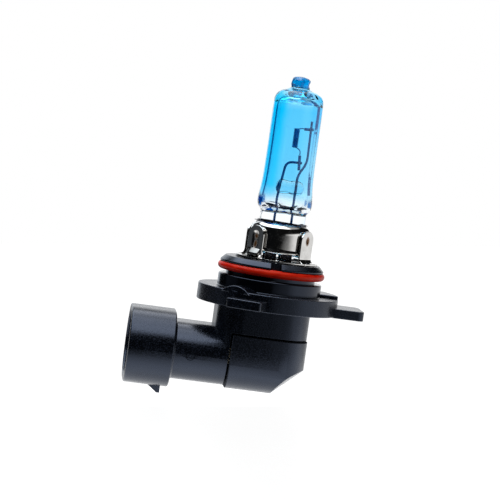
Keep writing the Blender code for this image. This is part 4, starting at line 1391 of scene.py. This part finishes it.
def rounded_route(corners, radius, steps=8):
    """A wire's corners with each bend rounded."""
    points = [Vector(corners[0])]
    for before, corner, after in zip(corners, corners[1:], corners[2:]):
        before, corner, after = Vector(before), Vector(corner), Vector(after)
        reach = min(radius, (before - corner).length * 0.45, (after - corner).length * 0.45)
        start = corner + (before - corner).normalized() * reach
        end = corner + (after - corner).normalized() * reach
        for i in range(steps + 1):
            t = i / steps
            points.append(start * (1 - t) ** 2 + corner * 2 * t * (1 - t) + end * t * t)
    points.append(Vector(corners[-1]))
    return points


def posts(material):
    """The two bent wires that carry the filament."""
    foot = POSTS_FOOT / MM
    # x and z from the capsule axis, in millimetres
    short = ((-1.62, foot), (-1.62, 19.8), (-0.78, 26.75), (2.27, 26.85))
    long = ((1.75, foot), (1.75, 24.4), (3.3, 26.9), (3.14, 35.1))
    for name, corners, node in (("short_wire", short, "short_post"), ("long_wire", long, "long_post")):
        route = rounded_route([(x * MM, 0, z * MM) for x, z in corners], POST_BEND)
        shape = round_wire(route, POST_RADIUS, CAPSULE_X)
        finish_piece(solid(name, shape), material, "molybdenum", node, sharp=50)


def sleeves(material):
    """The crimped sleeves round the filament's tails, which are welded to the posts."""
    lower, upper = ((1.56, 28.25), (1.77, 25.4)), ((1.75, 33.4), (3.55, 33.5))
    for name, ends, node in (("lower_sleeve", lower, "lower_clamp"), ("upper_sleeve", upper, "upper_clamp")):
        start, end = [Vector((x * MM, CLAMP_Y, z * MM)) for x, z in ends]
        points = [start.lerp(end, i / 6) for i in range(7)]
        shape = round_wire(points, CLAMP_RADIUS, CAPSULE_X)
        finish_piece(solid(name, shape), material, "molybdenum", node, sharp=50)


def coil(material):
    """The filament: a close coil with its two tails."""
    # The lower tail: x, share of the sleeves' y, and z
    tail = ((1.55, 1.0, 28.3), (1.55, 1.0, 28.9), (1.4, 0.9, 29.25), (1.1, 0.6, 29.5))
    points = [Vector((x * MM, CLAMP_Y * share, z * MM)) for x, share, z in tail]
    per_turn = 16
    total = COIL_TURNS * per_turn
    for i in range(total + 1):
        angle = 2 * pi * i / per_turn
        z = COIL_LOW + (COIL_HIGH - COIL_LOW) * i / total
        points.append(Vector((COIL_X + COIL_RADIUS * cos(angle), COIL_RADIUS * sin(angle), z)))
    points.append(Vector((1.3 * MM, CLAMP_Y * 0.7, COIL_HIGH + 0.12 * MM)))
    points.append(Vector((1.8 * MM, CLAMP_Y, COIL_HIGH + 0.1 * MM)))
    shape = round_wire(points, COIL_WIRE, CAPSULE_X, sides=8)
    return finish_piece(solid("coil", shape), material, "tungsten", "filament", sharp=60)


# ---- Metal holder ----


def shoulder_line(top, wall, inset):
    """The cup's round shoulder and the slow curve below it as (radius, z) points, from the opening down."""
    tilt = radians(CUP_TILT)
    bend, slow = CUP_SHOULDER, CUP_SLOW_BEND
    middle = Vector((wall - slow * (1 - cos(tilt)) - bend * cos(tilt), top - bend))
    start = acos((CUP_OPENING - middle.x) / bend)
    far = middle - Vector((cos(tilt), sin(tilt))) * (slow - bend)
    tight = [(middle, bend, start + (tilt - start) * i / 14) for i in range(15)]
    gentle = [(far, slow, tilt * (1 - i / 8)) for i in range(1, 9)]
    return [
        tuple(centre + Vector((cos(angle), sin(angle))) * (radius - inset))
        for centre, radius, angle in tight + gentle
    ]


def drawn_cup(material):
    """The cup round the pinch: a rounded shoulder above and a small flared lip below."""
    top, bottom = CUP_HIGH.z + CUP_CROWN, CUP_LOW.z
    lip = CUP_HIGH.x - CAPSULE_X
    wall = CUP_RADIUS - 0.04 * MM
    outside = shoulder_line(top, wall, 0.0)
    inside = shoulder_line(top, wall, SHEET)
    lower = filleted(
        [
            outside[-1] + (0,),
            (wall, bottom + 0.85 * MM, 0.8 * MM),
            (lip, bottom + 0.33 * MM, 0.12 * MM),
            (lip - 0.02 * MM, bottom + 0.12 * MM, 0.1 * MM),
            (lip - 0.16 * MM, bottom, 0.1 * MM),
            (lip - SHEET, bottom, 0.05 * MM),
            (wall - SHEET, bottom + 0.85 * MM, 0.3 * MM),
            inside[-1] + (0,),
        ],
        steps=8,
    )
    profile = outside[:-1] + lower + inside[::-1][1:]
    cup = solid("drawn_cup", turned(profile, CAPSULE_X, ring=True))
    return finish_piece(cup, material, "plated_steel", "bulb_cup")


def grip_clip(material):
    """The clip round the pinch, with an uneven upper edge and two tongues at the front and two behind."""
    half_x, half_y = (CLIP_HIGH.x - CLIP_LOW.x) / 2, (CLIP_HIGH.y - CLIP_LOW.y) / 2
    low, high = CLIP_LOW.z, CLIP_HIGH.z
    # Height and how far the outer face stands out: a small skirt just above the cup
    levels = [(low, 0), (CLIP_BOTTOM, 0), (high - 1.2 * MM, 0), (high - 0.8 * MM, 0.05)]
    levels += [(high - 0.74 * MM, 0.34), (high - 0.42 * MM, 0.03), (high - 0.38 * MM, 0)]
    outer = rounded_rectangle(half_x, half_y, CLIP_CORNER)
    inner = rounded_rectangle(half_x - CLIP_SHEET, half_y - CLIP_SHEET, CLIP_CORNER - CLIP_SHEET)
    loops = []
    for z, out in levels:
        wider, deeper = 1 + out * MM / half_x, 1 + out * MM / half_y
        loops.append([(CAPSULE_X + x * wider, y * deeper, z) for x, y in outer])
    loops.append([ragged(x, y, high) for x, y in outer])
    loops.append([ragged(x, y, high) for x, y in inner])
    for z, _ in reversed(levels):
        loops.append([(CAPSULE_X + x, y, z) for x, y in inner])
    clip = solid("grip_clip", skin(loops, ring=True))
    reach = 10 * MM
    below = low - 1 * MM
    inner_edge = TONGUE_SLOT / 2
    outer_edge = inner_edge + TONGUE_WIDTH
    # Between the tongues, then left and right of them
    cuts = [
        block("cut", (CAPSULE_X + start, -reach, below), (CAPSULE_X + end, reach, CLIP_BOTTOM))
        for start, end in ((-inner_edge, inner_edge), (-reach, -outer_edge), (outer_edge, reach))
    ]
    combine(clip, "DIFFERENCE", *cuts)
    rest, root = CUP_HIGH.z + CUP_CROWN + 0.06 * MM, half_x - 0.2 * MM
    # Each ear's two ends across, then its front and its back
    ears = [
        block("ear", (CAPSULE_X + start, front, rest), (CAPSULE_X + end, back, rest + 0.1 * MM))
        for start, end, front, back in (
            (-5.3 * MM, -root, -0.6 * MM, 0.5 * MM),
            (root, 5.0 * MM, -0.5 * MM, 0.6 * MM),
        )
    ]
    combine(clip, "UNION", *ears)
    return finish_piece(clip, material, "plated_steel", "pinch_clip")


def ragged(x, y, high):
    """A point on the clip's torn upper edge, at most as high as the frame's."""
    drop = 0.5 + 0.9 * noise.noise(Vector((x, y, 0)) / (0.7 * MM))
    return (CAPSULE_X + x, y, high - 0.32 * MM * share_of(drop))


def leg_sheet(bearing):
    """One leg as a bent sheet: a foot on the ring, a bend, and an upright with a rounded top and a dimple."""
    ring_z = LEGS_LOW.z
    top = LEGS_HIGH.z
    near = LEG_INNER + SHEET
    # Distance from the capsule axis and height, along the outer face from foot to top
    path = [(near + LEG_FOOT + 0.45 * MM, ring_z + SHEET)]
    path += [
        (near + LEG_FOOT * (1 - sin(angle)), ring_z + SHEET + LEG_FOOT * (1 - cos(angle)))
        for angle in arc(0, 90, 8)
    ]
    bend_top = ring_z + SHEET + LEG_FOOT
    arc_start = top - LEG_CORNER
    path += [(near, bend_top + (arc_start - bend_top) * i / 30) for i in range(1, 31)]
    path += [(near, arc_start + LEG_CORNER * sin(angle)) for angle in arc(0, 90, 18)[1:]]
    rows = []
    for i, (distance, z) in enumerate(path):
        before, after = Vector(path[max(i - 1, 0)]), Vector(path[min(i + 1, len(path) - 1)])
        along = (after - before).normalized()
        outward = Vector((along.y, -along.x))
        front, back = [], []
        for t in leg_places(z - arc_start):
            sunk, dent = edge_drop(t, z - arc_start), dimple(bearing, t, z)
            outer = Vector((distance, z)) - outward * (dent + sunk)
            inner = Vector((distance, z)) - outward * (dent + SHEET - sunk)
            front.append(Vector((t, -outer.x, outer.y)))
            back.append(Vector((t, -inner.x, max(inner.y, ring_z + 0.01 * MM))))
        rows.append(front + back[::-1])
    shape = skin(rows)
    return turned_to(bearing, shape)


def leg_places(over):
    """Places across a leg, close together at its edges. over is the height above the round top's start."""
    half = LEG_WIDTH / 2
    if over > 0:
        half += sqrt(max(LEG_CORNER**2 - over**2, 0)) - LEG_CORNER
    side = [half - LEG_EDGE * share for share in (0, 0.13, 0.45, 1)]
    inside = [-side[-1] + 2 * side[-1] * i / 22 for i in range(1, 22)]
    return [-t for t in side] + inside + side[::-1]


def edge_drop(t, over):
    """How far the sheet's face falls away at this place, near its rounded edge."""
    if over > 0:
        aside = max(abs(t) - (LEG_WIDTH / 2 - LEG_CORNER), 0)
        inside = LEG_CORNER - hypot(aside, over)
    else:
        inside = LEG_WIDTH / 2 - abs(t)
    short = LEG_EDGE - min(max(inside, 0), LEG_EDGE)
    return LEG_EDGE - sqrt(LEG_EDGE**2 - short**2)


def gusset(bearing):
    """The bead pressed into a leg's bend to stiffen it."""
    near = LEG_INNER + SHEET - 0.1 * MM
    foot = LEGS_LOW.z + 0.6 * MM
    outline = filleted(
        [
            (0, foot, 0),
            (0.45 * MM, foot, 0.1 * MM),
            (0.95 * MM, GUSSET_TOP - 1.35 * MM, 0.2 * MM),
            (0.80 * MM, GUSSET_TOP - 0.9 * MM, 0.3 * MM),
            (0.05 * MM, GUSSET_TOP, 0),
        ]
    )
    loops = []
    for i in range(21):
        share = -1 + 2 * i / 20
        size = max((1 - abs(share) ** 3.5) ** 0.5, 0.02)
        loops.append([(GUSSET_WIDTH / 2 * share, -(near + out * size), z) for out, z in outline])
    shape = skin(loops)
    return turned_to(bearing, shape)


def dimple(bearing, across, z):
    """How far a leg's face is pressed in here: a long hollow on the left legs, a small round one right."""
    radius = DIMPLE_RADIUS if bearing < 0 else WELD_PIT_RADIUS
    low = DIMPLE_LOW + radius if bearing < 0 else WELD_Z
    high = DIMPLE_HIGH - radius if bearing < 0 else WELD_Z
    distance = hypot(across, z - min(max(z, low), high)) / radius
    share = share_of((1.0 - distance) / 0.55)
    return DIMPLE_DEPTH * share * share * (3 - 2 * share)


def ring_with_legs(material):
    """The flat ring and its four legs."""
    low = LEGS_LOW.z
    edge = 0.06 * MM
    profile = filleted(
        [
            (RING_INNER, low, 0),
            (RING_OUTER, low, edge),
            (RING_OUTER, low + SHEET, edge),
            (RING_INNER, low + SHEET, edge),
            (RING_INNER, low, 0),
        ],
        steps=2,
    )[:-1]
    ring = turned(profile, CAPSULE_X, ring=True)
    legs = [leg_sheet(bearing) for bearing in LEG_BEARINGS]
    gussets = [gusset(bearing) for bearing in LEG_BEARINGS if bearing < 0]
    made = merged("ring_with_legs", ring, *legs, *gussets)
    return finish_piece(made, material, "plated_steel", "leg_ring")


# ---- Terminals ----


def blades(material):
    """The two terminal blades with their bevelled tips and the tabs that meet the ferrules."""
    for name, node, side in (("front_blade", "front_terminal", -1), ("rear_blade", "rear_terminal", 1)):
        low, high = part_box(node)
        y = side * TERMINAL_Y
        half = BLADE_HALF_HEIGHT
        tip, taper, edge = 1.0 * MM, 0.7 * MM, 0.12 * MM
        outline = [
            (low.x, ARM_MIDDLE_Z - half + taper),
            (low.x + tip, ARM_MIDDLE_Z - half),
            (high.x, ARM_MIDDLE_Z - half),
            (high.x, high.z),
            (high.x - half, high.z),
            (high.x - half, ARM_MIDDLE_Z + half),
            (low.x + tip, ARM_MIDDLE_Z + half),
            (low.x, ARM_MIDDLE_Z + half - taper),
        ]
        sides = (y - BLADE_THICKNESS / 2, y + BLADE_THICKNESS / 2)
        shape = skin([[(x, face_y, z) for x, z in outline] for face_y in sides])
        bmesh.ops.bevel(shape, geom=shape.edges[:], offset=edge, segments=3, profile=0.5, affect="EDGES")
        tab_near, tab_far = sorted((side * 0.75 * MM, y))
        inward = 0.05 * MM
        tab = block(
            "tab",
            (high.x - half + inward, tab_near, high.z - 1.9 * MM),
            (high.x - inward, tab_far, high.z - inward),
        )
        made = combine(solid(name, shape), "UNION", tab)
        finish_piece(made, material, "tinned_brass", node)


# ---- Scene ----


def kept(material, slot, *nodes):
    """Gives the CAD's own nodes, where their shape is right, a finish."""
    for name in nodes:
        node = NODES[name]
        node.data.materials.clear()
        node.data.materials.append(material)


def weld_spots():
    """The places of the spot welds on the legs, with how far their heat tint reaches across and up."""
    left = ((WELD_Z - 0.25 * MM, (0.8, 0.85)), (WELD_Z - 1.65 * MM, (0.72, 1.2)))
    right = ((WELD_Z, (0.78, 1.0)),)
    return [
        (bearing_point(LEG_INNER + SHEET, bearing, z, CAPSULE_X), reach)
        for bearing in LEG_BEARINGS
        for z, reach in (left if bearing < 0 else right)
    ]


bpy.context.scene.view_settings.view_transform = "Standard"
make_camera()
make_world()
make_floor(floor_material())

NYLON = black_nylon()
STEEL = plated_steel(weld_spots())
OXIDISED = wire_metal("oxidised_steel", (0.16, 0.16, 0.18), (0.07, 0.07, 0.09), 0.22)
# Painted light: the wires' grey metal is painted blue, the blue that light takes through the coated glass,
# and the coil is painted brighter to offset its own shade.
BLUE_LIT_MOLYBDENUM = wire_metal("molybdenum", (0.07, 0.18, 0.42), (0.045, 0.12, 0.30), 0.45, metallic=0.2)
BLUE_LIT_TUNGSTEN = wire_metal("tungsten", (0.08, 0.26, 0.60), (0.05, 0.17, 0.42), 0.45, metallic=0.2)
BRASS = wire_metal("tinned_brass", (0.78, 0.74, 0.62), (0.62, 0.56, 0.42), 0.22)

housing_moulding(NYLON)
cover_moulding(NYLON)
red_o_ring(red_rubber())
glass_capsule(blue_glass(), inner_glass())
bridge_bead(clear_glass())
posts(BLUE_LIT_MOLYBDENUM)
sleeves(BLUE_LIT_MOLYBDENUM)
coil(BLUE_LIT_TUNGSTEN)
drawn_cup(STEEL)
grip_clip(OXIDISED)
ring_with_legs(STEEL)
blades(BRASS)
kept(sealant(), "sealant", "lead_seal")
kept(BLUE_LIT_MOLYBDENUM, "molybdenum", "left_lead", "right_lead")
kept(BRASS, "tinned_brass", "left_ferrule", "right_ferrule")
